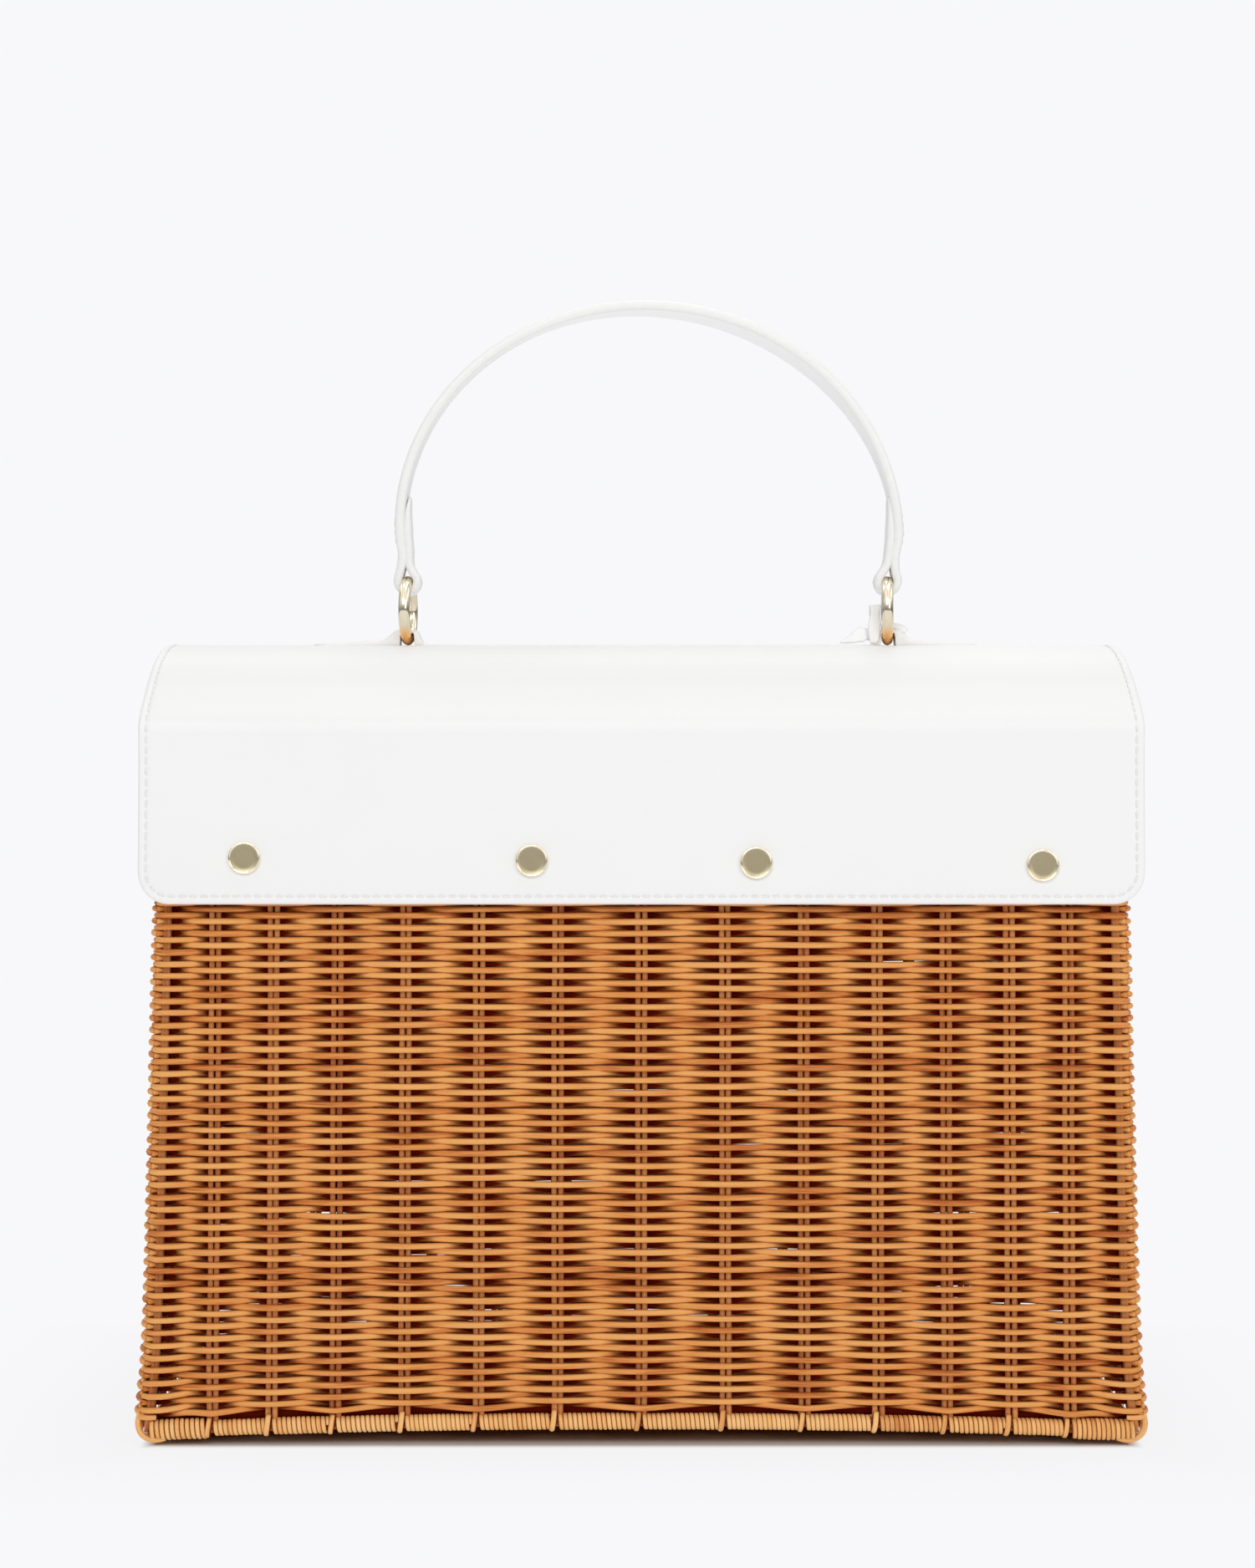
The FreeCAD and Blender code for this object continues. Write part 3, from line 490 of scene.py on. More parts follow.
def rail_z(x):
    """Height of the front and back base rails, bowed up between the corners."""
    return RAIL_LOW - RAIL_BOW * np.minimum(1.04, np.abs(x) / RAIL_BOW_HALF) ** RAIL_BOW_POWER


def weft_lift(x, row):
    """How much the lowest rows follow the bowed rail, and dip at the corners."""
    height = row * WEFT_PITCH
    dip = np.clip((np.abs(x) - 149) / 14, 0, 1)
    bowed = 2.4 * (1 - np.minimum(1, np.abs(x) / RAIL_BOW_HALF) ** RAIL_BOW_POWER) * exp(-height / 22)
    return bowed - 1.5 * smooth_step(dip) * exp(-height / 9)


def spread(knots, steps):
    """Evenly spaced places from each knot to the next."""
    return np.interp(np.arange((len(knots) - 1) * steps + 1) / steps, np.arange(len(knots)), knots)


def eased(place, knots, values):
    """A value at each place that eases in and out from knot to knot."""
    share = np.interp(place, knots, np.arange(len(knots)))
    low = np.minimum(share.astype(int), len(knots) - 2)
    ease = 0.5 - 0.5 * np.cos(pi * (share - low))
    return values[low] + (values[low + 1] - values[low]) * ease


def weft_knots(z, row, long_wall):
    """Where a strand passes corners, posts and stakes, how far out, and on which side."""
    run = outer_half(z)[0 if long_wall else 1]
    corner = run - WALL_HALF - CORNER_BEND + CORNER_BEND * pi / 4
    post = run - (FRONT_POST_IN if long_wall else END_POST_IN)
    stakes = STAKE_X if long_wall else END_STAKES
    first = 1 if long_wall else 0
    side = (-1.0) ** (np.arange(len(stakes) + 2) + first + row)
    reach = side * np.r_[POST_REACH, np.full(len(stakes), WEFT_REACH), POST_REACH]
    knots = np.r_[-corner, -post, stakes, post, corner]
    return knots, np.r_[CORNER_REACH, reach, CORNER_REACH], side


def weft(bundle, row, long_wall, flip):
    """One strand of one wall, passing alternately outside and inside the stakes."""
    z = WEFT_BOTTOM + row * WEFT_PITCH
    knots, reach, side = weft_knots(z, row, long_wall)
    t = spread(knots, 7)
    count = len(t)
    sag = wiggle(count, 0.12, 9) + rng.normal(0, 0.07)
    sag[[0, -1]] = 0
    height = z + sag + (weft_lift(t, row) if long_wall else 0)
    if row == 0 and long_wall:
        height = height - 0.75 * np.interp(t, knots[1:-1], side)
    stand = eased(t, knots, reach) + wiggle(count, 0.08, 6) * np.minimum(1, (knots[-1] - np.abs(t)) / 4)
    point, normal = wall_path(t, height, long_wall)
    point, normal = (point + normal * stand[:, None]) * flip, normal * flip
    radius = WEFT_R * (1 + wiggle(count, 0.03, 8) + rng.normal(0, 0.03))
    radius = radius * (1 + BEHIND_SWELL * np.clip(-stand / 2, 0, 1))
    bundle.add(point, radius, seam=(0, 0.35), buried=(normal, stand))


def foot_filler(bundle, long_wall, flip):
    """A thicker cane inside a wall's foot, behind the stakes, in painted shade where it faces out."""
    run = outer_half(WEFT_BOTTOM)[0 if long_wall else 1] - 8
    t = np.linspace(-run, run, 60)
    height = rail_z(t) + RAIL_R + 0.6 if long_wall else END_RAIL_R * 2 + 1
    point, normal = wall_path(t, height, long_wall)
    bundle.add((point - normal * FILLER_IN) * flip, FILLER_R, buried=(normal * flip, np.full(60, -FILLER_IN)))


def arch_top_rows(bundle, flip):
    """The strands that fill an end wall under its arched rim."""
    rows = ceil((ARCH_APEX - RIM_R - WEFT_R - WEFT_BOTTOM) / WEFT_PITCH)
    for row in range(WEFT_ROWS, rows):
        z = WEFT_BOTTOM + row * WEFT_PITCH
        half_w, half_d = outer_half(z)
        half = min(sqrt((ARCH_R - RIM_R + 0.6) ** 2 - (z - ARCH_Z) ** 2), half_d - WALL_HALF)
        inside = np.abs(END_STAKES) < half - 3
        knots = np.r_[-half, END_STAKES[inside], half]
        side = np.r_[0, (-1.0) ** (np.flatnonzero(inside) + row), 0]
        y = np.linspace(-half, half, max(8, int(half * 2 / 3.2)))
        stand = eased(y, knots, side) * WEFT_REACH
        point = wall_point(y, half_w - WALL_HALF + stand, z + wiggle(len(y), 0.1, 6), False) * flip
        outward = np.broadcast_to((flip[0], 0, 0), point.shape)
        bundle.add(point, WEFT_R, seam=(0, 0.3), buried=(outward, stand))


def stake_pairs(centres):
    return np.stack([centres - STAKE_HALF_PITCH, centres + STAKE_HALF_PITCH], -1).ravel()


def stake_line(place, long_wall):
    """A standing cane in the middle of a wall, from the base rail to the rim."""
    if long_wall:
        foot, top = rail_z(place), RIM_Z - 1
    else:
        foot, top = END_RAIL_R, ARCH_Z + sqrt((ARCH_R - 1) ** 2 - place**2)
    z = np.linspace(foot, top, 40)
    depth = outer_half(z)[1 if long_wall else 0] - WALL_HALF
    return wall_point(place + wiggle(40, 0.12, 6), depth, z, long_wall)


def make_walls():
    for name, long_wall, flip in (("front", True, (1, 1, 1)), ("back", True, (1, -1, 1)),
                                  ("right", False, (1, 1, 1)), ("left", False, (-1, 1, 1))):
        wefts, stakes = Bundle(8), Bundle(8)
        for row in range(WEFT_ROWS):
            weft(wefts, row, long_wall, flip)
        foot_filler(wefts, long_wall, flip)
        if not long_wall:
            arch_top_rows(wefts, flip)
        for place in stake_pairs(STAKE_X if long_wall else END_STAKES):
            line = stake_line(place, long_wall) * flip
            radius = STAKE_R * (1 + wiggle(40, 0.03, 5))
            stakes.add(line, radius, up=X if long_wall else Y, seam=(0, 0.75))
        wefts.piece(f"weave_{name}_wefts", CANE, "cane", [f"weave_{name}"])
        stakes.piece(f"stakes_{name}_canes", CANE_STAKE, "cane", [f"stakes_{name}"])


def make_corner_posts():
    """Two posts at each corner, one in each wall."""
    posts = Bundle(10)
    z = np.linspace(4.5, RIM_Z - 2, 50)
    half_w, half_d = outer_half(z)
    for inset_x, inset_y in ((FRONT_POST_IN, WALL_HALF), (WALL_HALF, END_POST_IN)):
        for sx, sy in CORNERS:
            line = np.stack([sx * (half_w - inset_x), sy * (half_d - inset_y), z], -1)
            posts.add(line, POST_R * (1 + wiggle(50, 0.03, 5)), up=X, seam=(0.3, 0.3))
    posts.piece("corner_post_canes", CANE_STAKE, "cane_frame", ["corner_posts"])


def winding(bundle, path, radius, wrap_r, pitch, flat):
    """A strand wound round a path of points. flat thins the strand outwards."""
    run = distances(path)
    count = max(8, int(run[-1] / pitch * 12))
    s = np.linspace(0, run[-1], count)
    tangent = unit(look_up(s, run, np.gradient(path, run, axis=0)))
    side = unit(np.cross(Z, tangent))
    angle = (s / pitch * 2 * pi)[:, None]
    reach = (radius - wrap_r * flat) * (1 + wiggle(count, 0.02, 7))
    out = np.cos(angle) * side + np.sin(angle) * np.cross(tangent, side)
    bundle.add(look_up(s, run, path) + reach[:, None] * out, wrap_r, up=out, flat=flat, seam=(0.8, 0))


def rail_points(low, high, side, count=40):
    x = np.linspace(low, high, count)
    return wall_point(x, -side * RAIL_Y, rail_z(x), True)


def line_along_y(low, high, x, z, count):
    return wall_point(np.linspace(low, high, count), x, z, False)


def wind_rails(wraps):
    """The winding of the base rails, with a gap at every stake pair."""
    for side in (-1, 1):
        stops = np.r_[-RAIL_WIND_X, STAKE_X, RAIL_WIND_X]
        last = len(stops) - 2
        for i, (low, high) in enumerate(zip(stops, stops[1:])):
            low, high = low + (0 if i == 0 else 0.45), high - (0 if i == last else 2.2)
            radius = (RAIL_END_R if i in (0, last) else RAIL_R) * (1 + rng.normal(0, 0.015))
            pitch = WRAP_PITCH + rng.normal(0, 0.05)
            winding(wraps, rail_points(low, high, side), radius, WRAP_R, pitch, WRAP_FLAT)
        stops = np.r_[-END_RAIL_REACH, END_STAKES, END_RAIL_REACH]
        for low, high in zip(stops, stops[1:]):
            part = line_along_y(low + 0.6, high - 0.6, side * RAIL_X, END_RAIL_R, 20)
            winding(wraps, part, END_RAIL_R, WRAP_R, WRAP_PITCH, WRAP_FLAT)


def raised_turn(bundle, x, side, lift):
    """One turn of the winding pulled up at a stake pair, higher than its neighbours."""
    angle = np.linspace(0.12 * pi, 1.95 * pi, 26)
    reach, up = RAIL_R - 0.35, np.clip(np.cos(angle), 0, 1)
    line = np.stack([x - 1.35 + 0.45 * np.cos(angle), side * (RAIL_Y + (reach + 0.15 * up) * np.sin(angle)),
                     rail_z(x) + reach * np.cos(angle) + lift * up * up], -1)
    outward = np.stack([np.zeros(26), side * np.sin(angle), np.cos(angle)], -1)
    bundle.add(line, 1.05, up=outward, flat=0.85, seam=(0.9, 0))


def make_base_corners(corners, ends):
    """Canes bent round each corner of the base, and one pale cut end."""
    front_loop = [(168.3, -70, 13), (169.5, -71.6, 10), (169.8, -72.3, 6.9), (168.8, -72.6, 4.1),
                  (166.6, -72.9, 2.4), (163.6, -73, 1.9), (160.5, -72.4, 2.4)]
    side_loop = [(168.6, -69, 13.2), (169.4, -69.2, 9.5), (169.5, -68.6, 6), (169.3, -66.8, 3),
                 (168.9, -64, 1.5), (168.4, -60.5, 1.4)]
    round_loop = [(163.5, -73, 9.5), (166.5, -73.4, 9.5), (168.9, -72.4, 9.5), (169.9, -69.5, 9.4),
                  (169.9, -65, 8.6), (169.6, -60.5, 7.2)]
    cut_end = [(166.9, -66, 5.4), (166.9, -70, 5.3), (166.9, -72.9, 5.2)]
    for sx, sy in CORNERS:
        flip = (sx, -sy, 1)
        for path in (front_loop, side_loop, round_loop):
            corners.add(smooth_line(np.array(path) * flip, 30), 0.95, up=(0.3, 0.9, 0.1), seam=(0.2, 0.2))
        ends.add(np.array(cut_end) * flip, 1.25)


def make_base_border():
    """The base frame, its winding with turns pulled up at the stakes, and the corner strands."""
    rod, wraps, corners, ties, ends = Bundle(8), Bundle(6), Bundle(8), Bundle(8), Bundle(10)
    for side in (-1, 1):
        rod.add(rail_points(-RAIL_X, RAIL_X, side, 80), RAIL_ROD_R, seam=(0.6, 0.6))
        rod.add(line_along_y(-END_RAIL_REACH, END_RAIL_REACH, side * RAIL_X, END_RAIL_R, 40), RAIL_ROD_R)
        for i, x in enumerate(STAKE_X):
            raised_turn(ties if i % 2 else wraps, x + rng.normal(0, 0.15), side, 1.5 if i % 2 else 0.8)
    wind_rails(wraps)
    make_base_corners(corners, ends)
    rod.piece("base_frame_cane", CANE_STAKE, "cane_frame", ["base_frame"])
    wraps.piece("base_winding", CANE_WRAP, "cane", ["base_wraps"])
    corners.piece("base_corner_strands", CANE_WRAP, "cane", ["base_corner_bindings"])
    ends.piece("base_corner_reed_ends", CANE_PITH, "cane")
    ties.piece("stake_end_ties", CANE_WRAP, "cane", ["stake_ties"])


def make_base_panel():
    """The woven bottom: canes across, wefts along, bowed like the rails."""
    panel = Bundle(6)
    half_y = RAIL_Y - 2
    for place in stake_pairs(STAKE_X):
        panel.add(line_along_y(-half_y, half_y, place, rail_z(place), 16), STAKE_R)
    knots = np.r_[-RAIL_X + 2, STAKE_X, RAIL_X - 2]
    x = spread(knots, 6)
    woven = half_y - 3
    for row in range(int(2 * woven / PANEL_PITCH)):
        side = (-1.0) ** (np.arange(len(knots)) + row)
        side[[0, -1]] = 0
        y = -woven + (row + 0.5) * PANEL_PITCH + wiggle(len(x), 0.08, 8)
        line = np.stack([x, y, rail_z(x) + PANEL_REACH * eased(x, knots, side)], -1)
        panel.add(line, PANEL_R, up=Y, seam=(0, 0.4))
    panel.piece("base_panel_weave", CANE, "cane", ["base_panel"])


def make_rim():
    """The rim rods, straight along the long walls and arched over the ends, and their winding."""
    rod, wraps = Bundle(10), Bundle(6)
    reach = asin(ROD_Y / ARCH_R)
    angle = np.linspace(-reach, reach, 60)
    for side in (-1, 1):
        line = wall_point(np.linspace(-ROD_X, ROD_X, 60), -side * ROD_Y, RIM_Z, True)
        rod.add(line, RIM_ROD_R)
        winding(wraps, line, RIM_R, *RIM_WRAP)
        arch = wall_point(ARCH_R * np.sin(angle), side * ROD_X, ARCH_Z + ARCH_R * np.cos(angle), False)
        rod.add(arch, RIM_ROD_R, up=X)
        winding(wraps, arch, RIM_R, *RIM_WRAP)
    rod.piece("rim_frame_cane", CANE_STAKE, "cane_frame", ["rim_frame"])
    wraps.piece("rim_winding", CANE_WRAP, "cane", ["rim_wraps"])


# ------ cover


class Profile:
    """The cover's centre line from one lower edge up over the rim rod to the ridge."""

    def __init__(self, side, drop):
        def facing(angle):
            return np.array([side * cos(angle), sin(angle)])

        down = np.array([side * sin(LEAN), -cos(LEAN)])
        rod, top = np.array([side * ROD_Y, RIM_Z]), np.array([0, ARCH_Z])
        rise = EDGE_STEPS + list(np.arange(14, drop - 12, 3)) + list(np.arange(drop - 11, drop + 0.01, 0.9))
        dome = pi / 2 - asin(ROD_Y / ARCH_R)
        rows = [(rod + down * (drop - v), facing(LEAN), v) for v in rise]
        rows += [(rod, facing(angle), drop + (angle - LEAN) * LEATHER_OUT)
                 for angle in np.linspace(LEAN, dome, 14)[1:]]
        turn = rows[-1][2]
        rows += [(top + facing(angle) * ARCH_R, facing(angle), turn + (angle - dome) * (ARCH_R + LEATHER_OUT))
                 for angle in np.linspace(dome, pi / 2, 26)[1:]]
        self.side, self.drop = side, drop
        self.base, self.normal, self.v = (np.array(column) for column in zip(*rows))

    def at(self, v):
        """Centre-line point and outward normal at distance v from the lower edge."""
        return look_up(v, self.v, self.base), unit(look_up(v, self.v, self.normal))

    def edge_distance(self, x, v):
        """Distance in from the sides, lower edge and rounded corners."""
        r = COVER_CORNER
        qx, qv = np.abs(x) - (COVER_HALF_W - r), r - v
        corner = r - np.hypot(qx, qv)
        return np.where((qx > 0) & (qv > 0), corner, np.minimum(COVER_HALF_W - np.abs(x), v))

    def relief(self, x, v):
        """How far the leather stands off: fuller over the shoulder, and gently uneven."""
        full = 1.1 * np.exp(-((v - self.drop - 4) / 10) ** 2)
        slow = 0.16 * np.sin(x / 41 + 0.7 * self.side) * np.sin(v / 23 + 1.3)
        slow = slow + 0.10 * np.sin(x / 17 + v / 31 + 2) + 0.07 * np.sin(x / 9.3 - v / 12.5)
        drop = STUD_DROP if self.side < 0 else RIVET_DROP
        studs = sum(0.3 * np.exp(-((x - stud) ** 2 + (v - self.drop + drop + STUD_FALL * stud) ** 2) / 60)
                    for stud in STUD_X)
        return full + slow - studs

    def surface(self, x, v, height):
        base, normal = self.at(v)
        point = base + normal * np.asarray(height)[..., None]
        return np.stack([x, point[..., 0], point[..., 1]], -1)


def rounding(distance, r):
    """Drop of a surface near its rounded edge."""
    d = np.clip(r - distance, 0, r)
    return r - np.sqrt(np.maximum(r * r - d * d, 0))


def sheet_faces(grid):
    """Quads of a sheet's outer and inner faces, and of the rim that joins them."""
    outside = np.stack([grid[:-1, :-1], grid[:-1, 1:], grid[1:, 1:], grid[1:, :-1]], -1).reshape(-1, 4)
    ring = np.r_[grid[0], grid[1:, -1], grid[-1, -2::-1], grid[-2:0:-1, 0]]
    after = np.roll(ring, -1)
    rim = np.stack([after, ring, ring + grid.size, after + grid.size], -1)
    return outside, outside[:, ::-1] + grid.size, rim


def cover_sheet(name, profile, nodes):
    """A leather sheet with its lining, rounded painted edges and a sewn groove."""
    left = np.array(EDGE_STEPS + [14, 18, 24, 31, 39]) / COVER_HALF_W - 1
    across = np.r_[left, np.linspace(left[-1], -left[-1], 32)[1:-1], -left[::-1]]
    short = np.clip(COVER_CORNER - profile.v, 0, None)
    half = COVER_HALF_W - COVER_CORNER + np.sqrt(COVER_CORNER**2 - short**2)
    x, v = half[:, None] * across, np.repeat(profile.v[:, None], len(across), 1)
    distance = np.maximum(profile.edge_distance(x, v), 0)
    relief = profile.relief(x, v)
    groove = 0.26 * np.exp(-((distance - STITCH_IN) / 0.6) ** 2)
    outer = profile.surface(x, v, LEATHER_OUT + relief - rounding(distance, 1.1) - groove)
    inner = profile.surface(x, v, LINING_IN + np.minimum(relief, 1.1) * 0.6 + rounding(distance, 0.7))
    verts = np.stack([outer, inner]).reshape(-1, 3)
    faces = sheet_faces(np.arange(x.size).reshape(x.shape))
    at_edge = distance[:-1, :-1].ravel() < 0.55
    mats = np.r_[np.where(at_edge, 1, 0), np.where(at_edge, 1, 2), np.full(len(faces[2]), 1)]
    quads = np.vstack(faces)
    if profile.side > 0:
        quads = quads[:, ::-1]
    mesh = build_mesh(name, verts, [quads], mats)
    mark_ridge_sharp(mesh)
    return add_piece(mesh, [LEATHER, EDGE, LINING], nodes)


def mark_ridge_sharp(mesh):
    """The sheets meet at the ridge with flat ends, so no seam shows in the shading."""
    for edge in mesh.edges:
        edge.use_edge_sharp = all(abs(mesh.vertices[end].co.y) < 1e-6 for end in edge.vertices)


def stitch_shape(bundle, point, along, normal, length=2.75, radius=0.34):
    """One stitch: a plump thread that dips into the leather at both ends."""
    share = np.array([-0.5, -0.4, -0.18, 0.18, 0.4, 0.5])
    lift = np.array([-0.32, -0.08, 0.06, 0.06, -0.08, -0.32])
    line = point + share[:, None] * length * along + lift[:, None] * normal
    bundle.add(line, radius * np.array([0.35, 0.8, 1, 1, 0.8, 0.35]), up=normal)


def cover_stitches(name, profile):
    """Stitches round the three free edges of a sheet."""
    r = COVER_CORNER - STITCH_IN
    side = [(COVER_HALF_W - STITCH_IN, v) for v in np.linspace(profile.v[-1] - 1.5, COVER_CORNER, 60)]
    turn = [(COVER_HALF_W - COVER_CORNER + r * cos(a), COVER_CORNER - r * sin(a))
            for a in np.linspace(0, pi / 2, 12)[1:]]
    path = np.array(side + turn + [(-x, v) for x, v in reversed(side + turn)])
    run = distances(path)
    count = int(run[-1] / STITCH_PITCH)
    bundle = Bundle(6)
    for s in (np.arange(count) + 0.5) * run[-1] / count:
        before, after = (profile.surface(*look_up(s + step, run, path), LEATHER_OUT) for step in (-0.6, 0.6))
        x, v = look_up(s, run, path)
        point = profile.surface(x, v, LEATHER_OUT + profile.relief(x, v) - 0.02)
        stitch_shape(bundle, point, unit(after - before), np.array([0, *profile.at(v)[1]]))
    return bundle.piece(name, THREAD, "white_leather", body=None)


def make_cover():
    """Two sheets that meet at the ridge, each with its stitches."""
    rear_nodes = ["cover_back_leather", "cover_back_lining"]
    front_nodes = ["cover_front_leather", "cover_front_lining", "cover_top_leather", "cover_top_lining",
                   "cover_top_stiffener"]
    for name, profile, nodes, bodies, fold_z in (
            ("rear", Profile(1, BACK_DROP), rear_nodes, ("basket", "cover_top"), REAR_FOLD_Z),
            ("front", Profile(-1, FRONT_DROP), front_nodes, ("cover_top", "cover_front"), FRONT_FOLD_Z)):
        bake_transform(cover_sheet(f"cover_{name}_sheet", profile, nodes))
        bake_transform(cover_stitches(f"cover_{name}_stitches", profile))


# ------ metal


def wall_spot(side, x, drop, out):
    """A point beside a long wall, below the rim rod and out from its centre plane."""
    return np.array([x, side * (ROD_Y + drop * sin(LEAN) + out * cos(LEAN)),
                     RIM_Z - drop * cos(LEAN) + out * sin(LEAN)])


def turned_shape(profile, ring_mats, centre, axis, around=48):
    """A profile of (radius, height) turned about an axis across X. ring_mats: a material for each ring."""
    side = np.cross(axis, X)
    c, s = circle(around)
    spin = c[:, None] * side + s[:, None] * np.cross(axis, side)
    verts = np.vstack([centre + r * spin + h * axis for r, h in profile])
    quads, caps = tube_faces(len(profile), around)
    return verts, quads, caps, np.repeat(ring_mats, around), [ring_mats[0], ring_mats[-1]]


def make_studs():
    """Rows of four discs: stud heads and rivets, and the magnets, keepers and washers behind them."""
    head = [(0.4, -0.4), (5.2, -0.35), (5.5, 0.1), (5.5, 0.6), (5.45, 0.95), (5.3, 1.16), (5.12, 1.26),
            (4.95, 1.2), (4.84, 1.05), (4.74, 0.98), (3, 1), (0.4, 1.02)]
    magnet = [(0.3, -0.3), (5.6, -0.3), (6.1, -0.22), (6.4, 0.1), (6.4, 1.2), (0.3, 1.2)]
    keeper = [(0.3, 0), (6.4, 0), (6.4, 0.7), (6.1, 1.1), (5.4, 1.2), (1.6, 1.2), (1.3, 1), (0.3, 0.9)]
    washer = [(0.3, 0), (5.9, 0), (5.9, -0.7), (5.6, -0.95), (1.9, -1), (1.7, -1.5), (1.2, -1.75),
              (0.3, -1.8)]
    front, back = (-1, STUD_DROP), (1, RIVET_DROP)
    for kind, profile, (side, drop), out, body in (
            ("closure_cap", head, front, LEATHER_OUT - 0.12, "cover_front"),
            ("back_rivet", head, back, LEATHER_OUT - 0.12, "basket"),
            ("closure_magnet", magnet, front, LINING_IN, "cover_front"),
            ("closure_keeper", keeper, front, 3.25, "basket"),
            ("keeper_washer", washer, front, -3.4, "basket"),
            ("back_washer", washer, back, -3.4, "basket")):
        ring_mats = [1] * 9 + [0] * 2 if profile is head else [0] * (len(profile) - 1)
        materials, slot = ([CAP_FACE, RIM_GOLD], "stud_metal") if profile is head else ([STEEL], "steel")
        axis = np.array([0, side * cos(LEAN), sin(LEAN)])
        spots = [wall_spot(side, x, drop + STUD_FALL * x, out) for x in STUD_X]
        mesh = joined_mesh(f"{kind}_discs", [turned_shape(profile, ring_mats, spot, axis) for spot in spots])
        add_piece(mesh, materials, [f"{kind}s"], body)


def make_rings():
    """Two wire rings, turned a little about the vertical."""
    yaw = radians(RING_YAW)
    axis = np.array([cos(yaw), sin(yaw), 0])
    across = np.cross(Z, axis)
    (big_c, big_s), (small_c, small_s) = circle(72), circle(20)
    out = big_c[:, None, None] * across + big_s[:, None, None] * Z
    wire = out * (RING_R + WIRE_R * small_c)[:, None] + axis * (WIRE_R * small_s)[:, None]
    grid = np.arange(72 * 20).reshape(72, 20)
    after, beside = np.roll(grid, -1, 0), np.roll(grid, -1, 1)
    quads = np.stack([grid, beside, np.roll(after, -1, 1), after], -1).reshape(-1, 4)
    for name, x in zip(("left", "right"), RING_X):
        mesh = build_mesh(f"ring_{name}_wire", (wire + (x, 0, RING_Z)).reshape(-1, 3), [quads])
        add_piece(mesh, [GOLD], [f"ring_{name}"], f"ring_{name}_body")


# ------ straps


def strap_section():
    """Round a strap's section: shares of half width and thickness, corner cosine and sine, and if flat."""
    rows = []
    for sign_w, sign_t, start in ((1, 1, 0), (-1, 1, 90), (-1, -1, 180), (1, -1, 270)):
        rows += [(sign_w, sign_t, cos(angle), sin(angle), 0)
                 for angle in np.radians(np.linspace(start, start + 90, 5))]
        if sign_w * sign_t > 0:
            rows += [(sign_w * share, sign_t, 0, sign_t, 1) for share in (0.72, 0.36, 0, -0.36, -0.72)]
    return np.array(rows).T


def strap_shape(line, across, half_width, half_thick, upright=False):
    """A flat strap along a line. across is its width direction; upright keeps its sections vertical."""
    tangent = np.broadcast_to(X, line.shape) if upright else unit(np.gradient(line, axis=0))
    across = unit(np.broadcast_to(across, line.shape))
    across = unit(across - tangent * np.sum(across * tangent, -1, keepdims=True))
    up = np.cross(tangent, across)
    run = distances(line)
    ends = np.minimum(run, run[-1] - run)
    w = half_width * np.sqrt(1 - (1 - np.clip(ends / 5, 0.02, 1)) ** 2 * 0.75)
    t = half_thick * np.sqrt(np.clip(1 - (1 - np.clip(ends / 0.8, 0.05, 1)) ** 2, 0.1, 1))
    w, t, r = w[:, None], t[:, None], np.minimum(np.minimum(t * 0.92, w * 0.5), 1.6)[:, None]
    share_w, share_t, c, s, flat = strap_section()
    verts = (line[:, None] + across[:, None] * (share_w * (w - r) + r * c)[..., None]
             + up[:, None] * (share_t * (t - r) + r * s)[..., None])
    quads, caps = tube_faces(len(line), len(flat))
    edge = (flat + np.roll(flat, -1) == 0).astype(int)
    return verts.reshape(-1, 3), quads, caps, np.tile(edge, len(line) - 1), [1, 1]


def strap_piece(name, shapes, node, body):
    add_piece(joined_mesh(name, shapes), [STRAP_LEATHER, EDGE], [node], body)


def handle_line():
    """The handle's centre line: from one fold round its ring, over the arch and down to the other."""
    t = np.linspace(0, pi, 61)
    polar = HANDLE_HALF_W * HANDLE_RISE / np.hypot(HANDLE_RISE * np.cos(t), HANDLE_HALF_W * np.sin(t))
    polar = polar - 1.3 * np.sin(2 * t) - HANDLE_HALF_T
    lean = HANDLE_LEAN * (t / pi) ** 2
    arch = np.stack([HANDLE_X + lean + polar * np.cos(t), HANDLE_FOOT + polar * np.sin(t)], -1)
    leg = np.array([(0.1, 41), (0.8, 36), (1.05, 31), (0.9, 26), (0.45, 21.5), (0, 18),
                    (-0.7, 15.6), (-2.2, 13.4), (-3.5, 10.6), (-2.5, 7.8), (0, 6.7), (2.5, 7.8),
                    (3.5, 10.6), (2.8, 13.4), (2.5, 15.8), (2.7, 20.8), (3.3, 24.2)])
    right = leg + (RING_X[1], RING_Z)
    shift = HANDLE_LEAN * np.clip((leg[:, 1] - 14) / 8, 0, 1)
    left = np.stack([RING_X[0] - leg[:, 0] + shift, RING_Z + leg[:, 1]], -1)[::-1]
    return smooth_line(np.insert(np.vstack([right, arch, left]), 1, 0, axis=1), 260)


def handle_stitches(line, tangent, half_t):
    """Two short rows of stitches outside each leg, above its ring."""
    bundle = Bundle(6)
    for side, ring_x in zip((-1, 1), RING_X):
        on_inner_ply = side * (line[:, 0] - ring_x) < 2.2
        for z in np.arange(24.5, 34.5, 2.9):
            i = np.argmin(np.abs(line[:, 2] - RING_Z - z) + 10 * on_inner_ply)
            out = np.cross(tangent[i], Y)
            out = out * np.sign(out[0]) * side
            for y in (-3.4, 3.4):
                stitch_shape(bundle, line[i] + out * half_t[i] + Y * y, tangent[i], out, 2.2, 0.3)
    bundle.piece("handle_stitches", THREAD, "white_leather", body="handle")


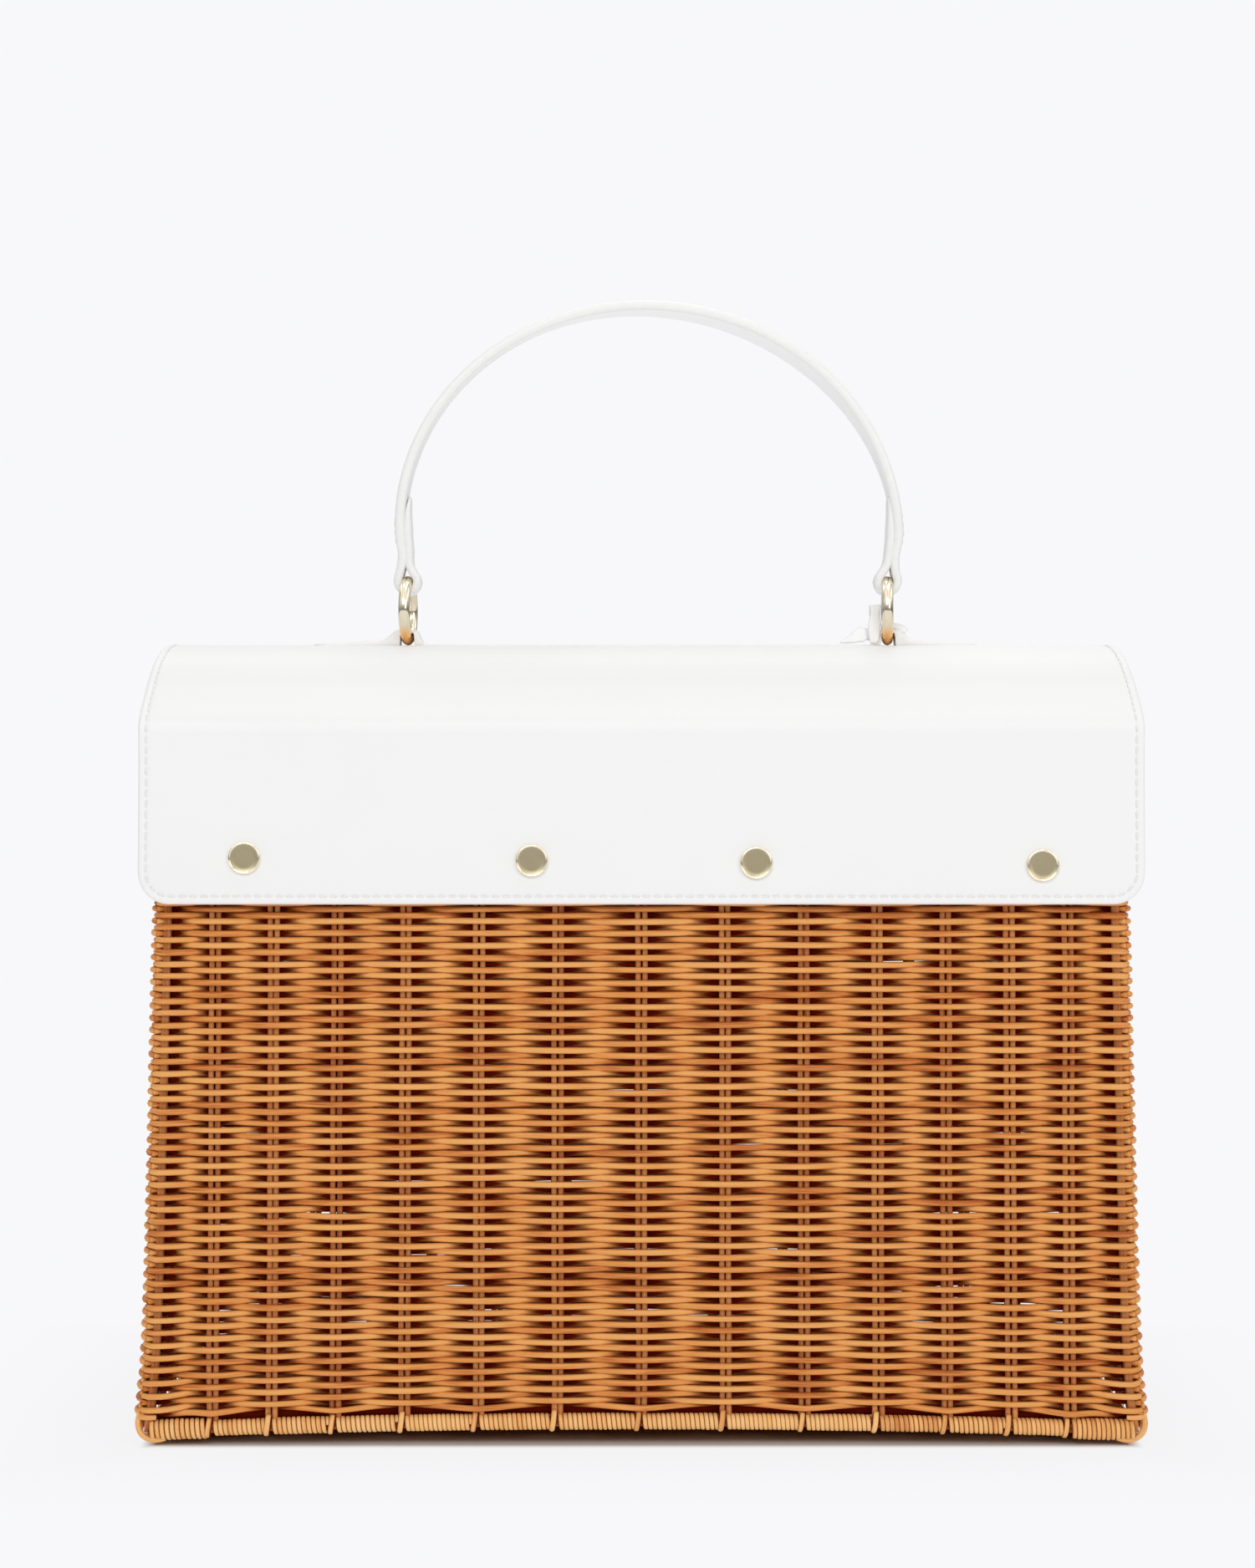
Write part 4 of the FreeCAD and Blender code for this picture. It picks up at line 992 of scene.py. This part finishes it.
def make_handle():
    """One strap looped through both rings: narrow and folded at its ends, wider and twisted above."""
    line = handle_line()
    height, x = line[:, 2] - RING_Z, line[:, 0] - HANDLE_X
    half_w = 5 + 2.4 * np.clip((height - 20) / 22, 0, 1) ** 0.7
    half_t = HANDLE_HALF_T - 0.25 * (1 - np.clip((height - 15) / 10, 0, 1))
    run = distances(line)
    ends = np.minimum(run, run[-1] - run)
    folded = ends < 30
    half_t = np.where(folded, np.minimum(1.5, 0.35 + ends / 9), half_t)
    half_w = np.where(folded, np.minimum(half_w, 5.6), half_w)
    lift = np.clip((height - 45) / 55, 0, 1)
    twist = (np.radians(9) * lift * np.clip(x / 60, -0.6, 1) + np.radians(3) * lift)[:, None]
    tangent = unit(np.gradient(line, axis=0))
    across = np.cos(twist) * Y + np.sin(twist) * np.cross(tangent, Y)
    strap_piece("handle_strap_leather", [strap_shape(line, across, half_w, half_t)], "handle_strap", "handle")
    handle_stitches(line, tangent, half_t)


def ring_distance(x):
    return np.min([np.abs(x - ring) for ring in RING_X], axis=0)


def ridge_heights(x):
    """Top and underside of the ridge strap: sewn flat, humped over each ring's foot."""
    near = ring_distance(x)
    outer = (x < RING_X[0]) | (x > RING_X[1])
    rise = np.clip((np.where(outer, 9, 6.5) - near) / np.where(outer, 6, 3.5), 0, 1)
    base = np.where(outer, 0.75 + 2.1 * np.clip(1 - near / 30, 0, 1) ** 1.5, 0.3)
    top = RIDGE_Z + base + (RIDGE_HUMP - base) * smooth_step(rise)
    clear = np.clip((2.65 - near) / 0.25, 0, 1)
    return top, RIDGE_Z - 0.5 + (2 * WIRE_R + 0.85) * clear


def dome_fall(y):
    """How far the cover's dome drops beside the ridge."""
    return y**2 / (2 * (ARCH_R + LEATHER_OUT))


def make_ridge_strap():
    near_ring = np.linspace(-11, 11, 89)
    x = np.r_[np.linspace(*RIDGE_ENDS, 120), RING_X[0] + near_ring, RING_X[1] + near_ring]
    x = np.unique(np.round(x, 3))
    top, low = ridge_heights(x)
    half_w = 5 + 2.4 * np.clip((ring_distance(x) - 5) / 8, 0, 1)
    line = np.stack([x, np.zeros_like(x), (top + low) / 2], -1)
    verts, *faces = strap_shape(line, Y, half_w, (top - low) / 2, upright=True)
    verts[:, 2] -= dome_fall(verts[:, 1])
    strap_piece("ridge_strap_leather", [(verts, *faces)], "ridge_strap", "cover_top")
    bundle = Bundle(6)
    for place in np.arange(-114, 118, STITCH_PITCH):
        for y in (-RIDGE_STITCH_Y, RIDGE_STITCH_Y):
            if ring_distance(place) > 13:
                point = np.array([place, y, ridge_heights(place)[0] - 0.24 - dome_fall(y)])
                stitch_shape(bundle, point, X, Z, 2.5, 0.28)
    bundle.piece("ridge_stitches", THREAD, "white_leather", body="cover_top")


def make_lace():
    """A lace at the right ring: a pointed tail, an upright loop, and the other end."""
    tail = [(-17.5, -4.6, 0.9), (-14.8, -4.8, 1.7), (-12.2, -4.9, 2.7), (-9.9, -4.7, 3.7), (-8, -4.2, 3.8),
            (-6.4, -3.2, 2.6)]
    loop = [(-5.3, -5.4, 0.6), (-5.2, -5.6, 4), (-5, -5.3, 9), (-4.8, -4.3, 12.6), (-4.6, -2.6, 14.1),
            (-4.5, -0.9, 13), (-4.4, 0.2, 10), (-4.3, 0.6, 7.8)]
    through = [(-4.6, -0.4, 8.4), (-3, -0.6, 8.4), (-1, -0.4, 7.6), (1.8, -0.6, 7.2), (4.2, -1.6, 6.4),
               (6.6, -3, 5)]
    shapes = []
    for points, across, width_places, half_widths in (
            (tail, (0.25, 0.25, 1), (0, 26, 39), (0.3, 2.9, 2.2)),
            (loop, (1, 0.12, 0.05), (0, 13, 19, 25, 39), (2.25, 2.25, 1.5, 2.2, 2.2)),
            (through, (0.15, 0.5, 1), (0, 15, 22, 39), (1.6, 1.1, 1.2, 2))):
        line = smooth_line(np.array(points) + (RING_X[1], 0, RIDGE_Z), 40)
        shapes.append(strap_shape(line, across, np.interp(np.arange(40), width_places, half_widths), 0.6))
    strap_piece("lace_leather", shapes, "tag_lace", "cover_top")


# ------ studio, in metres

BACKDROP = srgb(248, 248, 250)
SHADOW_HALF_W, SHADOW_HALF_D = 0.164, 0.072
FLOOR_HALF = 12
PICTURE_HEIGHT, CAMERA_BACK, SENSOR = 0.5298, 1, 36
CAMERA_X, PICTURE_Y, PICTURE_Z = -0.0047, -0.0705, 0.223


def make_floor():
    """A pale floor fading into the backdrop, with a soft shadow and a painted brown shadow under the bag."""
    mesh = bpy.data.meshes.new("floor")
    mesh.from_pydata([(sx * FLOOR_HALF, sy * FLOOR_HALF, 0) for sx, sy in CORNERS], [], [(0, 2, 3, 1)])
    n = material_nodes("floor")
    glow = n.add("Emission", {"Color": (*BACKDROP, 1)})
    parts = n.parts(n.place())
    across = n.math("SUBTRACT", n.math("ABSOLUTE", parts["X"]), SHADOW_HALF_W)
    along = n.math("SUBTRACT", n.math("ABSOLUTE", parts["Y"]), SHADOW_HALF_D)
    away = n.times(n.math("MAXIMUM", across, along), 10)
    # Painted shadow: under the bag the floor's colour darkens to brown, from pale grey at the bag's edge.
    colour = n.ramp(n.plus(away, 0.2), (0, (0.42, 0.28, 0.18)), (0.2, 0.8))
    n.set(Base_Color=colour, Roughness=0.7, Specular_IOR_Level=0.1)
    fade = n.ramp(away, (0, 0), (0.05, 0.9), (0.9, 1))
    mixed = n.add("MixShader", {0: fade, 1: n.shader, 2: glow})
    n.feed(n.tree.nodes["Material Output"].inputs["Surface"], mixed)
    n.owner.cycles.emission_sampling = "NONE"
    mesh.materials.append(n.owner)
    add_object(mesh)


def make_world():
    """The camera sees the backdrop; polished metal sees soft boxes between darker gaps."""
    world = bpy.data.worlds.new("studio")
    scene.world = world
    n = Nodes(world)
    n.tree.nodes.clear()
    world.cycles.sampling_method = "NONE"
    rays = n.add("LightPath").outputs
    parts = n.parts(n.add("TexCoord").outputs["Generated"])
    height = n.math("MULTIPLY_ADD", parts["Z"], 0.5, 0.5)
    boxes = n.ramp(height, (0.30, 0.85), (0.42, 0.36), (0.52, 0.27), (0.62, 0.75), (0.72, 1.3))
    stripes = n.math("MULTIPLY_ADD", n.math("SINE", n.times(parts["X"], 17)), 0.4, 0.85)
    seen = n.add("Background", {"Color": (*BACKDROP, 1)})
    soft = n.add("Background", {"Color": (1, 1, 1, 1), "Strength": 0.48})
    glossy = n.add("Background", {"Color": boxes, "Strength": stripes})
    lit = n.add("MixShader", {0: rays["Is Glossy Ray"], 1: soft, 2: glossy})
    shown = n.add("MixShader", {0: rays["Is Camera Ray"], 1: lit, 2: seen})
    n.add("OutputWorld", {"Surface": shown})


def add_light(name, place, aim, width, height, watts):
    data = bpy.data.lights.new(name, "AREA")
    data.shape, data.size, data.size_y, data.energy = "RECTANGLE", width, height, watts
    light = add_object(data)
    light.location = place
    light.rotation_mode = "QUATERNION"
    light.rotation_quaternion = (Vector(aim) - Vector(place)).to_track_quat("-Z", "Y")
    light.visible_camera = False


def make_lights():
    add_light("key", (-0.35, -1.45, 1.1), (0, 0, 0.15), 1, 0.6, 6.6)
    add_light("top", (0.1, 0.15, 1.7), (0, 0, 0.2), 1.4, 1, 7)
    add_light("fill", (1, -1.4, 0.85), (0, 0, 0.2), 0.8, 0.8, 4.4)


def make_camera():
    """Straight on, a metre in front of the weave, level with the picture's middle."""
    data = bpy.data.cameras.new("camera")
    data.sensor_fit, data.sensor_width, data.sensor_height = "VERTICAL", SENSOR, SENSOR
    data.lens = SENSOR * CAMERA_BACK / PICTURE_HEIGHT
    camera = add_object(data)
    camera.location = (CAMERA_X, PICTURE_Y - CAMERA_BACK, PICTURE_Z)
    camera.rotation_euler = (pi / 2, 0, 0)
    scene.camera = camera


make_walls()
make_corner_posts()
make_base_border()
make_base_panel()
make_rim()
make_cover()
make_studs()
make_rings()
make_handle()
make_ridge_strap()
make_lace()
make_floor()
make_world()
make_lights()
make_camera()
scene.view_settings.view_transform = "Standard"
